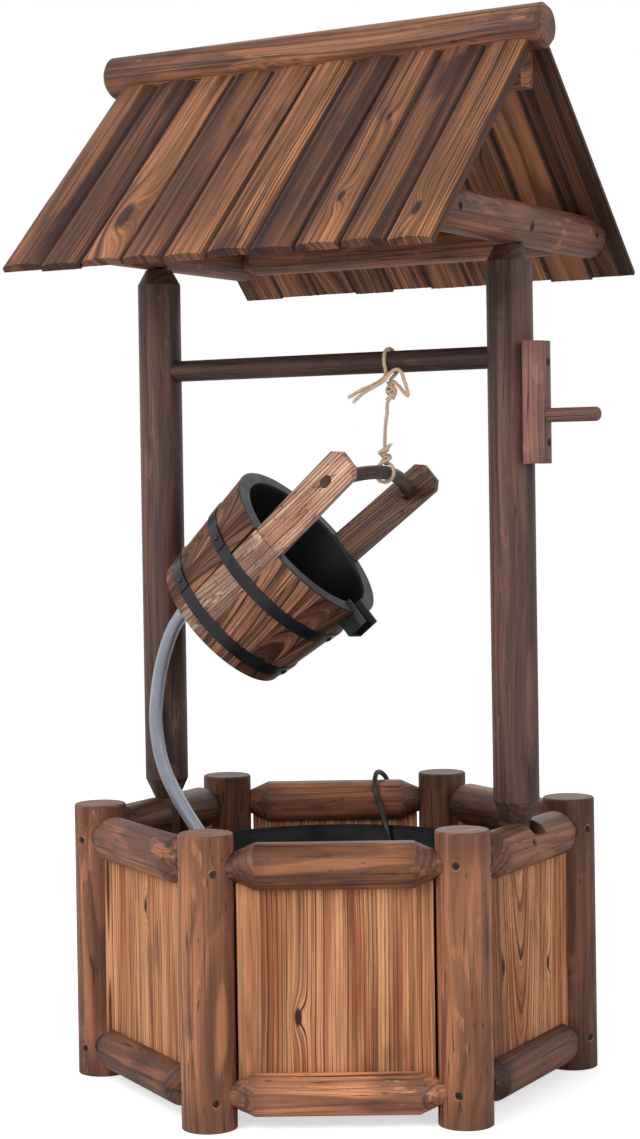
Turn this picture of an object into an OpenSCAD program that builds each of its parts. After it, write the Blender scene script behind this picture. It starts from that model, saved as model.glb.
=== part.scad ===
// Garden fountain in the form of a wishing well. A hexagon of posts, rails
// and panels holds a basin. Two uprights on it carry a gable roof and a rod.
// A tipped bucket hangs from the rod, and a pump in the basin fills it.
// X runs along the ridge, with the crank at +X, and Z is up. The origin is
// the centre of the base on the ground.

/* [Posts and rails] */
// Distance from the centre of the base to each post's axis
post_circle_r = 270; // [262:1:285]
// Diameter of a post
post_d = 59; // [56:1:62]
// Height of a post
post_h = 310; // [300:1:330]
// Radius of a post's softened upper edge
post_edge_r = 2.5; // [1.5:0.5:4]
// Distance that the rails lie outside the line between two posts
rail_shift = 6; // [4:0.5:7]
// Diameter of a top rail
top_rail_d = 50; // [46:1:53]
// Height of a top rail's axis
top_rail_z = 275; // [268:1:280]
// Diameter of a bottom rail
bottom_rail_d = 47; // [43:1:50]
// Height of a bottom rail's axis
bottom_rail_z = 35.6; // [32:0.1:42]
// Half-angle of the cone at each end of a rail
rail_cone_angle = 24; // [20:1:32]
// Diameter at the small end of each cone
cone_end_d = 30; // [29:0.5:32]
// Diameter of the tenon at each end of a rail
tenon_d = 28; // [24:0.5:28.5]
// Length of a tenon inside its post
tenon_l = 12.5; // [9:0.5:15]
// Play of a tenon in its socket, on the radius
socket_play = 0.6; // [0.2:0.1:0.8]

/* [Panels] */
// Thickness of a panel
panel_t = 9; // [7:0.5:11]
// Slit between a panel and the post beside it, on the rail's axis
panel_slit = 2.6; // [1.8:0.1:5]
// Depth that a panel goes into its rails
groove_depth = 8.5; // [6:0.5:9.5]

/* [Uprights] */
// Distance from the centre to each upright's axis
upright_x = 232.5; // [230:0.5:235]
// Diameter of an upright
upright_d = 51; // [48:1:54]
// Height at which an upright's lower cone ends
foot_top_z = 323; // [318:1:335]
// Height at which an upright's foot begins
foot_z = 299; // [295:1:305]
// Diameter of an upright's foot
foot_d = 29; // [26:0.5:31]
// Height of the floor of the notch that holds the foot
notch_z = 286; // [283:1:289]
// Distance from the centre to the flat side of the foot's tongue
tongue_x = 243; // [240:0.5:244]
// Height of the cone at the top of an upright
head_cone_h = 18.3; // [14:0.1:24]
// Diameter of an upright's top
head_d = 31; // [26:1:34]

/* [Windlass] */
// Diameter of the rod
rod_d = 25; // [22:0.5:28]
// Height of the rod's axis
rod_z = 811; // [800:1:825]
// Play of the rod in its blind holes, on the radius
rod_play = 0.5; // [0.3:0.1:0.8]
// Depth of the rod in each upright
rod_depth = 12; // [9:0.5:15]
// Width of the crank plate
crank_w = 50; // [46:1:54]
// Thickness of the crank plate at its crest
crank_t = 20; // [17:0.5:23]
// Length of the crank plate
crank_l = 133.5; // [125:0.5:145]
// Height of the crank plate's upper end above the rod's axis
crank_top = 15.5; // [10:0.5:22]
// Distance from each end of the crank plate to its screw
crank_screw_inset = 22.9; // [18:0.1:26]
// Diameter of the peg
peg_d = 15.7; // [13:0.1:18]
// Height of the peg's axis below the rod's axis
peg_drop = 65.5; // [62:0.5:68]
// Length of the peg outside the plate
peg_l = 60; // [50:1:70]
// Depth of the peg in the plate
peg_depth = 12; // [9:0.5:15]

/* [Roof] */
// Height of the tie beams' and purlins' axes
tie_z = 957.5; // [950:0.5:970]
// Distance from the centre to each tie beam's axis
tie_x = 238; // [234:0.5:241]
// Diameter of a tie beam
tie_d = 48; // [45:1:51]
// Distance from the ridge plane to each end of a tie beam
tie_half_l = 206; // [200:1:210]
// Diameter of a purlin
purlin_d = 42; // [39:1:45]
// Distance from the ridge plane to each purlin's axis
purlin_y = 174; // [168:1:178]
// Depth of a purlin's tenon in the tie beam
purlin_tenon_l = 12; // [9:0.5:14]
// Slope of the roof
slope = 44.5; // [42:0.5:46]
// Number of boards on each side
board_count = 10; // [8:1:12]
// Distance from one board to the next
board_pitch = 54.2; // [50:0.2:56]
// Gap between two boards
board_gap = 0.8; // [0.6:0.1:2]
// Thickness of a board at its edges
board_edge_t = 7.5; // [6:0.5:9]
// Rise of a board's crown above its edges
board_crown = 3.5; // [2:0.5:4.5]
// Length of a board
board_l = 331; // [325:1:345]
// Difference in length between the eave ends
eave_step = 1.8; // [0:0.2:5]
// Distance that the rear boards sit further right than the front boards
rear_shift = 6; // [0:0.5:8]
// Width of the ridge batten
batten_w = 30; // [26:1:34]
// Height of the ridge batten
batten_h = 40; // [34:1:46]
// Length of the ridge batten
batten_l = 514; // [490:2:530]
// Diameter of the ridge log
ridge_d = 50; // [47:1:53]
// Length of the ridge log
ridge_l = 578; // [560:2:590]
// Distance of the ridge log's middle to the left of the centre
ridge_shift = 6; // [0:0.5:8]
// Size of the bevel at each end of the ridge log
ridge_bevel = 5; // [3:0.5:8]

/* [Bucket] */
// Tilt of the bucket's axis from upright
bucket_tilt = 49.4; // [47:0.2:52]
// Turn of the bucket's mouth towards the rear
bucket_turn = 7.6; // [4:0.2:10]
// Turn of the bucket about its own axis
bucket_roll = -5; // [-8:0.5:0]
// Height of the mouth's centre below the rod's axis
bucket_drop = 204.5; // [202:0.5:207]
// Distance of the mouth's centre behind the uprights' plane
bucket_y = 13.5; // [9:0.5:16]
// Outer radius of the bucket at its mouth
mouth_r = 107.6; // [106:0.2:109]
// Outer radius of the bucket at its bottom
bottom_r = 90.9; // [88:0.1:93]
// Length of the bucket
bucket_l = 144; // [140:1:148]
// Thickness of a stave
stave_t = 13; // [12:0.5:14]
// Number of staves on each side of the bail
staves_a_side = 8; // [6:1:9]
// Gap between two staves
stave_gap = 0.3; // [0.2:0.1:0.5]
// Width of a stave that carries the bail
handle_w = 41; // [38:0.5:44]
// Thickness of a stave that carries the bail, above the mouth
handle_t = 10; // [8.5:0.5:11]
// Height of the bail staves above the mouth
handle_h = 139; // [132:1:146]
// Distance of the bail staves' centre line from the bucket's middle
handle_shift = 4; // [0:0.5:6]
// Size of the cut corners at the top of the bail staves
handle_corner = 9; // [6:0.5:12]
// Thickness of the bottom board
base_t = 10; // [8:0.5:12]
// Distance from the bucket's lower edge to the bottom board
base_inset = 8; // [6:0.5:10]
// Depth of the groove that holds the bottom board
croze = 4; // [3:0.5:5]
// Wall of the plastic liner
liner_t = 2.6; // [2:0.2:3.2]
// Thickness of the liner's rim
liner_rim_t = 2; // [1.6:0.2:3]
// Width of the spout
spout_w = 32; // [28:1:36]
// Distance from the bucket's axis to the spout's end
spout_end = 123.5; // [119:0.5:130]
// Depth of the spout below the mouth
spout_depth = 23.5; // [20:0.5:27]
// Height of the spout's walls above the mouth
spout_rise = 4; // [2:0.5:6]
// Width of a band
band_w = 15; // [12:0.5:17]
// Thickness of a band
band_t = 1.5; // [1:0.1:2]
// Distance from the mouth to the upper band
upper_band_at = 45.4; // [40:0.2:50]
// Distance from the mouth to the lower band
lower_band_at = 115; // [108:0.5:120]
// Angle that a band overlaps itself
band_lap = 18; // [12:1:24]
// Diameter of a rivet's head
rivet_d = 7; // [5:0.5:8]
// Number of rivets round each band
rivet_count = 3; // [1:1:4]
// Diameter of the bail
bail_d = 16; // [14:0.5:18]
// Height of the bail's holes above the mouth
bail_hole_z = 101; // [97:0.5:106]
// Rise of the bail's bow above its holes
bail_rise = 25.5; // [20:0.5:30]
// Length of a bail hole along the stave
bail_hole_l = 16; // [13:0.5:18]
// Width of a bail hole across the stave
bail_hole_w = 11; // [8:0.5:12]

/* [Basin] */
// Radius of the basin's rim
basin_r = 204; // [198:1:210]
// Radius of the basin's bottom
basin_bottom_r = 188; // [180:1:192]
// Height of the basin
basin_h = 250; // [240:1:256]
// Wall of the basin
basin_t = 2.5; // [2:0.1:3.5]
// Width of the lip outside the wall
lip_w = 3.5; // [2.5:0.5:5]
// Height of the lip
lip_h = 8; // [5:0.5:12]

/* [Pump] */
// Length of the motor housing
pump_l = 42; // [38:1:50]
// Width of the pump
pump_w = 44; // [40:1:50]
// Height of the housing
pump_h = 46; // [42:1:52]
// Radius of the housing's long edges
pump_edge_r = 7; // [4:0.5:9]
// Height of a suction foot
foot_h = 6; // [4:0.5:8]
// Diameter of a suction foot
suction_d = 13; // [10:0.5:14]
// Length of the impeller chamber
chamber_l = 14; // [13:0.5:18]
// Depth of the strainer cover
strainer_l = 13; // [10:0.5:16]
// Number of slots in the strainer
strainer_slots = 7; // [5:1:8]
// Diameter of the rotor magnet
magnet_d = 16; // [14:0.5:18]
// Length of the rotor magnet
magnet_l = 26; // [22:1:28]
// Diameter of the impeller
impeller_d = 26; // [22:0.5:29]
// Number of impeller vanes
vane_count = 5; // [4:1:6]
// Running gap round the rotor
rotor_gap = 0.5; // [0.3:0.1:0.8]
// Diameter of the rotor's shaft
shaft_d = 2.5; // [2:0.1:3]
// Running fit of the shaft, on the radius
shaft_fit = 0.05; // [0.03:0.01:0.1]
// Diameter of the flow dial
dial_d = 18; // [15:0.5:20]
// Outer diameter of the outlet nozzle
nozzle_d = 12.6; // [11:0.2:13]
// Height of the nozzle above the chamber
nozzle_h = 24; // [18:1:28]

/* [Screws] */
// Diameter of a screw's shank
screw_d = 4; // [3.5:0.1:4.3]
// Diameter of a screw's head
screw_head_d = 8; // [7:0.2:8.6]
// Length of a post screw
post_screw_l = 70; // [62:1:78]
// Depth of a screw's head below the wood
screw_sink = 1.6; // [1.4:0.1:2.5]

/* [Hose, rope and lead] */
// Outer diameter of the hose
hose_d = 16; // [14:0.5:16]
// Diameter of the rope
rope_d = 3.5; // [3:0.1:3.6]
// Diameter of the mains lead
lead_d = 6.5; // [6:0.1:6.6]

/* [Hidden] */
// Gap between two pieces that are fixed to each other
fit = 0.2;
// Gap between a piece that moves and its neighbours, or two curved faces
clear_gap = 0.3;
// A length that is longer than any cut needs
far = 400;
eps = 0.01;
big_fn = 96;
fine_fn = 64;

side_count = 6;
side_angle_step = 360 / side_count;
apothem = post_circle_r * cos(side_angle_step / 2);
side_half = post_circle_r * sin(side_angle_step / 2);
rail_x = apothem + rail_shift;
post_r = post_d / 2;
// Distance along a rail's axis from a post's axis to the post's surface
post_chord = sqrt(post_r * post_r - rail_shift * rail_shift);
rail_end = side_half - post_chord;
shoulder_gap = 0.6;
tenon_end = rail_end + tenon_l;
// The screws of one rail pass above those of the next rail in the post
screw_level_a = 0.5;
screw_level_b = -4.5;

panel_half = rail_end - panel_slit;
panel_top_z = top_rail_z - top_rail_d / 2 + groove_depth;
panel_bottom_z = bottom_rail_z + bottom_rail_d / 2 - groove_depth;

upright_r = upright_d / 2;
foot_r = foot_d / 2;
// The tongue ends level with the underside of the rail
tongue_z = top_rail_z - top_rail_d / 2 + clear_gap;
upright_top_z = tie_z - tie_d / 2 - fit;
head_cone_z = upright_top_z - head_cone_h;
upright_in = upright_x - upright_r;
upright_out = upright_x + upright_r;
foot_screw_l = 45;
// Place of the foot screws' heads on the rail: along the rail, and height
foot_screw_y = -20;
foot_screw_z = 6;
foot_screw_turn = 32;
foot_screw_dip = 14;

rod_half = upright_in + rod_depth - clear_gap;
crank_top_z = rod_z + crank_top;
crank_r = (pow(crank_w / 2, 2) + pow(crank_t, 2)) / (2 * crank_t);
crank_flat_x = upright_out + fit;
crank_crest_x = crank_flat_x + crank_t;
crank_screw_l = 40;
peg_z = rod_z - peg_drop;
peg_end_r = 5;

purlin_r = purlin_d / 2;
tie_r = tie_d / 2;
roof_seat = 0.4;
// Height where the undersides of the two roof faces would meet
apex_z = tie_z + tan(slope) * purlin_y + (purlin_r + roof_seat) / cos(slope);
ridge_r = ridge_d / 2;
batten_top_z = apex_z - tan(slope) * batten_w / 2 - clear_gap / cos(slope);
ridge_z = batten_top_z + fit + ridge_r;
board_start = ridge_r + clear_gap - (ridge_z - apex_z) * sin(slope);
board_w = board_pitch - board_gap;
crown_r = (pow(board_w / 2, 2) + pow(board_crown, 2)) / (2 * board_crown);
purlin_shoulder = tie_x - tie_r - shoulder_gap;
purlin_tenon_end = tie_x - tie_r + purlin_tenon_l;
purlin_cone_l = (purlin_d - cone_end_d) / 2 / tan(rail_cone_angle);
purlin_screw_l = 60;
tie_bevel = 7;
tie_screw_l = 62;
// Direction of the screws from the tie beams down into the uprights
tie_screw_dip = 45;

stave_taper = (mouth_r - bottom_r) / bucket_l;
bucket_axis_x = sin(bucket_tilt) * cos(bucket_turn);
// The bucket's lower edge leans on the left upright
bucket_x = bottom_r * sqrt(1 - pow(bucket_axis_x, 2)) + bucket_l * bucket_axis_x
    - upright_in + clear_gap;
bucket_z = rod_z - bucket_drop;
stave_top = -liner_rim_t - fit;
croze_z = -bucket_l + base_inset;
base_top = croze_z + base_t;
handle_slope = atan(stave_taper);
handle_in = mouth_r - stave_t;
handle_half_angle = asin(handle_w / 2 / mouth_r);
stave_angle = (180 - 2 * handle_half_angle) / staves_a_side;
liner_gap = 0.3;
liner_out = mouth_r - stave_t - liner_gap;
liner_in = liner_out - liner_t;
liner_floor = base_top + fit;
spout_t = 2.5;
rivet_angle = -117;
bail_y = handle_in + stave_taper * bail_hole_z;
bail_arc_r = (pow(bail_y, 2) + pow(bail_rise, 2)) / (2 * bail_rise);
bail_apex_z = bail_hole_z + bail_rise;
bail_spare_angle = 3;
bail_half_angle = asin(bail_y / bail_arc_r) + bail_spare_angle;
// Place of the hose fitting in the bottom board
inlet_x = -35;
inlet_y = -25;
inlet_tail_r = 6.4;
inlet_tail_l = 22;
inlet_nut_t = 4;
inlet_nut_r = 11;
// The bucket screw rises from the left upright into a stave's lower end
bucket_screw_rise = 25;
bucket_screw_l = 72;

basin_floor = 3;
basin_wall_r = basin_r - lip_w;

// The nozzle stands over this place in the basin
nozzle_x = -105;
nozzle_y = -35;
chamber_x = pump_l;
strainer_x = pump_l + chamber_l;
pump_x = nozzle_x - chamber_x - chamber_l / 2;
pump_z = basin_floor + foot_h;
rotor_z = 22;
well_r = magnet_d / 2 + rotor_gap;
well_l = magnet_l + 4;
vane_l = 7;
vane_r = impeller_d / 2;
wall_t = 2.5;
strainer_t = 2;
gland_x = 17;
gland_z = 14;
gland_l = 9;
gland_r = 6;
bearing_l = 3;
dial_t = 4;
dial_z = 12;

lead_ring_step = 15;
hose_ring_step = 34;
rope_ring_step = 7;
// Route of the hose, from the fitting in the bucket's bottom to the nozzle
HOSE_ROUTE = [
    [-182, -28, 529], [-190, -31, 518], [-199, -34, 502], [-208, -36, 478], [-215, -37, 452],
    [-220, -37, 424], [-222, -37, 396], [-219, -36, 365], [-211, -36, 338], [-199, -35, 314],
    [-184, -35, 292], [-164, -35, 266], [-146, -35, 240], [-131, -35, 212], [-118, -35, 180],
    [-110, -35, 145], [-106, -35, 112]
];
// Route of the lead, from the pump over the rear rail to the coil
LEAD_ROUTE = [
    [-144, 24, 23], [-141, 45, 19], [-129, 85, 11], [-108, 122, 7], [-82, 150, 8],
    [-58, 168, 24], [-44, 178, 62], [-37, 184, 115], [-33, 186, 175], [-31, 188, 225],
    [-37, 190, 250], [-47, 198, 265], [-59, 210, 280], [-67, 217, 299], [-71, 230, 310],
    [-72, 247, 306], [-74, 262, 295], [-77, 273, 275], [-79, 278, 240], [-81, 281, 190],
    [-83, 284, 130], [-84, 287, 75], [-86, 293, 36], [-92, 301, 12], [-103, 309, 5]
];
// Centre, mean radius and number of turns of the coil, and its two layers
coil_x = -165;
coil_y = 282;
coil_mean_r = 36;
coil_turns = 4;
coil_pitch = lead_d + 0.9;
coil_step = lead_d + 0.7;
coil_rings = 24;
coil_sides = 6;

log_brown = [0.47, 0.31, 0.23];
dark_brown = [0.30, 0.21, 0.19];
board_brown = [0.36, 0.24, 0.18];
panel_tan = [0.78, 0.59, 0.41];
stave_orange = [0.62, 0.38, 0.22];
plastic_black = [0.10, 0.10, 0.11];
band_black = [0.16, 0.16, 0.17];
screw_dark = [0.20, 0.19, 0.18];
rope_tan = [0.80, 0.69, 0.53];
hose_clear = [0.75, 0.80, 0.88, 0.5];

function post_angle(k) = -90 + side_angle_step * (k - 1);
function side_angle(k) = post_angle(k) + side_angle_step / 2;

// Places children on side k of the base: X outwards, Y towards the next post
module on_side(k) {
    rotate([0, 0, side_angle(k)]) translate([rail_x, 0, 0]) children();
}

// Screw along -Z, with the top of its head at the origin
module screw(length) {
    head_h = (screw_head_d - screw_d) / 2;
    tip_h = screw_d;
    rotate_extrude($fn = 32)
        polygon([[0, 0], [screw_head_d / 2, 0], [screw_d / 2, -head_h],
                 [screw_d / 2, tip_h - length], [0, -length]]);
}

// Space for a screw and the driver above its head
module screw_space(length) {
    rim_r = screw_head_d / 2 + 0.6;
    hole_r = screw_d / 2 + 0.05;
    head_h = (screw_head_d - screw_d) / 2;
    rotate_extrude($fn = 32)
        polygon([[0, screw_sink + 8], [rim_r, screw_sink + 8], [rim_r, 0],
                 [hole_r, -head_h - 0.6], [hole_r, -length - 1], [0, -length - 1]]);
}

// Solid of revolution about Z from points that hold a radius and a height
module turned(points) {
    rotate_extrude($fn = big_fn) polygon(points);
}

// Turned log along Y with cones and tenons at both ends
module tenoned_log(d, shoulder, tip) {
    cone_l = (d - cone_end_d) / 2 / tan(rail_cone_angle);
    full = shoulder - cone_l;
    half = [[d / 2, full], [cone_end_d / 2, shoulder], [tenon_d / 2, shoulder],
            [tenon_d / 2, tip], [0, tip]];
    rotate([90, 0, 0])
        turned(concat([[0, -tip], [tenon_d / 2, -tip], [tenon_d / 2, -shoulder],
                       [cone_end_d / 2, -shoulder], [d / 2, -full]], half));
}

// Socket for a tenon that comes along Y, with its floor at y = tip
module socket(tip, mouth) {
    translate([0, tip + fit, 0]) rotate([90, 0, 0])
        cylinder(h = tip + fit - mouth, d = tenon_d + 2 * socket_play, $fn = fine_fn);
}

// Places a screw along Y that enters from y = start towards -Y
module along_rail(start) {
    translate([0, start, 0]) rotate([-90, 0, 0]) children();
}

module post_joint_cuts(end) {
    level = end > 0 ? screw_level_b : screw_level_a;
    for (z = [bottom_rail_z, top_rail_z])
        translate([0, 0, z]) mirror([0, end > 0 ? 0 : 1, 0]) {
            socket(tenon_end, rail_end - 20);
            translate([0, 0, level]) along_rail(side_half + post_chord - screw_sink)
                screw_space(post_screw_l);
        }
}

// Post with a softened upper edge and the joints of the two sides it ends
module post(k) {
    edge_steps = 4;
    edge = [for (i = [0 : edge_steps])
        [post_r - post_edge_r + post_edge_r * cos(90 * i / edge_steps),
         post_h - post_edge_r + post_edge_r * sin(90 * i / edge_steps)]];
    color(log_brown) difference() {
        rotate([0, 0, post_angle(k)]) translate([post_circle_r, 0, 0])
            turned(concat([[0, 0], [post_r, 0]], edge, [[0, post_h]]));
        on_side(k) post_joint_cuts(-1);
        on_side(k - 1) post_joint_cuts(1);
    }
}

module rail_screw_spaces() {
    for (end = [-1, 1])
        mirror([0, end > 0 ? 0 : 1, 0])
            translate([0, 0, end > 0 ? screw_level_b : screw_level_a])
                along_rail(side_half + post_chord - screw_sink) screw_space(post_screw_l);
}

// Groove in a rail for the edge of a panel; z is the panel's edge
module panel_groove(edge_z, open_z) {
    low = min(edge_z, open_z);
    translate([-panel_t / 2 - fit, -panel_half - fit, low])
        cube([panel_t + 2 * fit, 2 * (panel_half + fit), abs(edge_z - open_z)]);
}

function holds_upright(k) = k == 2 || k == 5;

// Notch for an upright's foot: a trench across the rail, and a deeper slot on
// the inner side for the tongue
module foot_notch() {
    half_w = foot_r + clear_gap;
    tongue_out = tongue_x - rail_x + fit;
    translate([-top_rail_d, -half_w, notch_z]) cube([2 * top_rail_d, 2 * half_w, top_rail_d]);
    translate([-top_rail_d, -half_w, tongue_z - fit])
        cube([top_rail_d + tongue_out, 2 * half_w, top_rail_d]);
}

// The foot screw enters the rail's outer side and runs skew into the tongue
module at_foot_screw() {
    head_x = sqrt(pow(top_rail_d / 2, 2) - pow(foot_screw_z, 2)) - screw_sink;
    translate([head_x, foot_screw_y, top_rail_z + foot_screw_z])
        rotate([0, 0, -foot_screw_turn]) rotate([0, 90 - foot_screw_dip, 0]) children();
}

module top_rail(k) {
    color(log_brown) on_side(k) difference() {
        translate([0, 0, top_rail_z])
            tenoned_log(top_rail_d, rail_end - shoulder_gap, tenon_end);
        panel_groove(panel_top_z + fit, top_rail_z - top_rail_d);
        translate([0, 0, top_rail_z]) rail_screw_spaces();
        if (holds_upright(k)) {
            foot_notch();
            at_foot_screw() screw_space(foot_screw_l);
        }
    }
}

module bottom_rail(k) {
    color(log_brown) on_side(k) difference() {
        translate([0, 0, bottom_rail_z])
            tenoned_log(bottom_rail_d, rail_end - shoulder_gap, tenon_end);
        panel_groove(panel_bottom_z - fit, bottom_rail_z + bottom_rail_d);
        translate([0, 0, bottom_rail_z]) rail_screw_spaces();
    }
}

// Panel, with a small cut in its upper edge where an upright's tongue passes
module panel(k) {
    color(panel_tan) on_side(k) difference() {
        translate([-panel_t / 2, -panel_half, panel_bottom_z])
            cube([panel_t, 2 * panel_half, panel_top_z - panel_bottom_z]);
        if (holds_upright(k))
            translate([-panel_t, -foot_r - clear_gap, tongue_z - fit])
                cube([2 * panel_t, foot_d + 2 * clear_gap, top_rail_d]);
    }
}

// The two sides of the fountain: s is 1 at the crank and -1 opposite
module upright(s) {
    color(dark_brown) difference() {
        mirror([s > 0 ? 0 : 1, 0, 0]) difference() {
            translate([upright_x, 0, 0])
                turned([[0, tongue_z], [foot_r, tongue_z], [foot_r, foot_z],
                        [upright_r, foot_top_z], [upright_r, head_cone_z],
                        [head_d / 2, upright_top_z], [0, upright_top_z]]);
            translate([tongue_x, -upright_r, tongue_z - 1])
                cube([upright_d, upright_d, notch_z + fit - tongue_z + 1]);
            translate([upright_in - 5, 0, rod_z]) rotate([0, 90, 0])
                cylinder(h = rod_depth + 5, r = rod_d / 2 + rod_play, $fn = fine_fn);
            at_tie_screw() screw_space(tie_screw_l);
        }
        on_side(s > 0 ? 2 : 5) at_foot_screw() screw_space(foot_screw_l);
        if (s > 0) crank_screw_places() screw_space(crank_screw_l);
        if (s < 0) at_bucket_screw() screw_space(bucket_screw_l);
    }
}

module windlass_rod() {
    color(dark_brown) translate([-rod_half, 0, rod_z]) rotate([0, 90, 0])
        cylinder(h = 2 * rod_half, d = rod_d, $fn = fine_fn);
}

module crank_screw_places() {
    for (z = [crank_top_z - crank_screw_inset, crank_top_z - crank_l + crank_screw_inset])
        translate([crank_crest_x - screw_sink, 0, z]) rotate([0, 90, 0]) children();
}

// Half-round slab whose flat side lies on the right upright
module crank_plate() {
    color(log_brown) difference() {
        translate([crank_crest_x - crank_r, 0, crank_top_z - crank_l])
            cylinder(h = crank_l, r = crank_r, $fn = big_fn);
        translate([crank_flat_x - far, -far / 2, crank_top_z - crank_l - 1])
            cube([far, far, crank_l + 2]);
        crank_screw_places() screw_space(crank_screw_l);
        translate([crank_crest_x - peg_depth - fit, 0, peg_z]) rotate([0, 90, 0])
            cylinder(h = far, d = peg_d + 2 * fit, $fn = fine_fn);
    }
}

module crank_peg() {
    steps = 4;
    tip = peg_depth + peg_l;
    round_end = [for (i = [0 : steps])
        [peg_d / 2 - peg_end_r + peg_end_r * cos(90 * i / steps),
         tip - peg_end_r + peg_end_r * sin(90 * i / steps)]];
    color(log_brown) translate([crank_crest_x - peg_depth, 0, peg_z]) rotate([0, 90, 0])
        turned(concat([[0, 0], [peg_d / 2, 0]], round_end, [[0, tip]]));
}

// Places children on a roof face: Y down the slope, Z outwards from its
// underside, with the origin at the ridge. s is -1 in front and 1 behind.
module on_slope(s) {
    mirror([0, s > 0 ? 0 : 1, 0]) translate([0, 0, apex_z]) rotate([-slope, 0, 0]) children();
}

// The screw runs from a tie beam's outer side down into the upright's head
module at_tie_screw() {
    reach = tie_r - screw_sink;
    turn = 20;
    translate([tie_x + reach * cos(turn), 0, tie_z - reach * sin(turn)])
        rotate([0, tie_screw_dip, 0]) children();
}

module at_purlin_screw(s) {
    translate([tie_x + tie_r - screw_sink, s * purlin_y, tie_z]) rotate([0, 90, 0]) children();
}

// Tie beam across an upright, cut to the slope of the roof at its ends
module tie_beam(s) {
    color(log_brown) mirror([s > 0 ? 0 : 1, 0, 0]) difference() {
        translate([tie_x, 0, tie_z]) rotate([90, 0, 0])
            turned([[0, -tie_half_l], [tie_r - tie_bevel, -tie_half_l],
                    [tie_r, tie_bevel - tie_half_l], [tie_r, tie_half_l - tie_bevel],
                    [tie_r - tie_bevel, tie_half_l], [0, tie_half_l]]);
        for (side = [-1, 1]) {
            on_slope(side) translate([0, 0, -roof_seat]) cube([far, far, far / 4]);
            translate([purlin_tenon_end + fit, side * purlin_y, tie_z]) rotate([0, -90, 0])
                cylinder(h = purlin_tenon_l + 20, d = tenon_d + 2 * socket_play, $fn = fine_fn);
            at_purlin_screw(side) screw_space(purlin_screw_l);
        }
        at_tie_screw() screw_space(tie_screw_l);
    }
}

module purlin(side) {
    color(log_brown) difference() {
        translate([0, side * purlin_y, tie_z]) rotate([0, 0, 90])
            tenoned_log(purlin_d, purlin_shoulder, purlin_tenon_end);
        for (s = [0, 1]) mirror([s, 0, 0]) at_purlin_screw(side) screw_space(purlin_screw_l);
    }
}

module ridge_batten() {
    color(board_brown) translate([-batten_l / 2, -batten_w / 2, batten_top_z - batten_h])
        cube([batten_l, batten_w, batten_h]);
}

module ridge_log() {
    half = ridge_l / 2;
    color(log_brown) translate([-ridge_shift, 0, ridge_z]) rotate([0, 90, 0])
        turned([[0, -half], [ridge_r - ridge_bevel, -half], [ridge_r, ridge_bevel - half],
                [ridge_r, half - ridge_bevel], [ridge_r - ridge_bevel, half], [0, half]]);
}

// Crowned boards side by side, with eave ends that differ a little in length
module roof_boards(side) {
    color(board_brown) on_slope(side) for (i = [0 : board_count - 1]) {
        length = board_l + eave_step * sin(137 * i + 60 * side);
        shift = side > 0 ? rear_shift : 0;
        translate([(i + 0.5 - board_count / 2) * board_pitch + shift, board_start, 0])
            intersection() {
                translate([-board_w / 2, 0, 0])
                    cube([board_w, length, board_edge_t + board_crown + 1]);
                translate([0, -1, board_edge_t + board_crown - crown_r]) rotate([-90, 0, 0])
                    cylinder(h = length + 2, r = crown_r, $fn = 180);
            }
    }
}

// Bucket's own frame: origin at the mouth's centre, Z out of the mouth and X
// towards the spout
module in_bucket() {
    translate([bucket_x, bucket_y, bucket_z]) rotate([0, bucket_tilt, bucket_turn])
        rotate([0, 0, bucket_roll]) children();
}

function wall_r(z) = mouth_r + stave_taper * z;

// Cone that keeps a distance inside the bucket's outer face
module bucket_cone(inset, low, high) {
    translate([0, 0, low])
        cylinder(h = high - low, r1 = wall_r(low) - inset, r2 = wall_r(high) - inset, $fn = big_fn);
}

module stave_wall() {
    difference() {
        bucket_cone(0, -bucket_l, stave_top);
        bucket_cone(stave_t, -bucket_l - 1, stave_top + 1);
        bottom_board(fit);
    }
}

module bottom_board(grow) {
    translate([0, 0, croze_z - grow])
        cylinder(h = base_t + 2 * grow, r = wall_r(base_top) - stave_t + croze - fit + grow,
                 $fn = big_fn);
}

// Space of a bail stave, with the gap beside it
module handle_space(side, gap) {
    w = handle_w + 2 * gap;
    translate([handle_shift - w / 2, side > 0 ? 0 : -far, -far]) cube([w, far, 2 * far]);
}

module spout_space(gap) {
    w = spout_w + 2 * gap;
    translate([mouth_r / 2, -w / 2, -spout_depth - gap]) cube([mouth_r, w, far]);
}

module stave_wedge(angle) {
    reach = 2 * mouth_r;
    half = stave_angle / 2;
    back = stave_gap / 2 / sin(half);
    rotate([0, 0, angle]) translate([back, 0, -bucket_l - 1])
        linear_extrude(bucket_l + 2)
            polygon([[0, 0], [reach * cos(half), -reach * sin(half)],
                     [reach * cos(half), reach * sin(half)]]);
}

module bucket_staves() {
    color(stave_orange) in_bucket() difference() {
        for (half = [0, 180], i = [0 : staves_a_side - 1])
            intersection() {
                stave_wall();
                stave_wedge(half + (i + 0.5 - staves_a_side / 2) * stave_angle);
            }
        for (side = [-1, 1]) handle_space(side, stave_gap);
        spout_space(clear_gap);
        bucket_screw_cut();
    }
}

module bucket_base() {
    color(stave_orange) in_bucket() difference() {
        bottom_board(0);
        translate([inlet_x, inlet_y, croze_z - 1])
            cylinder(h = base_t + 2, r = inlet_tail_r + 2 * fit, $fn = fine_fn);
        bucket_screw_cut();
    }
}

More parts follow.
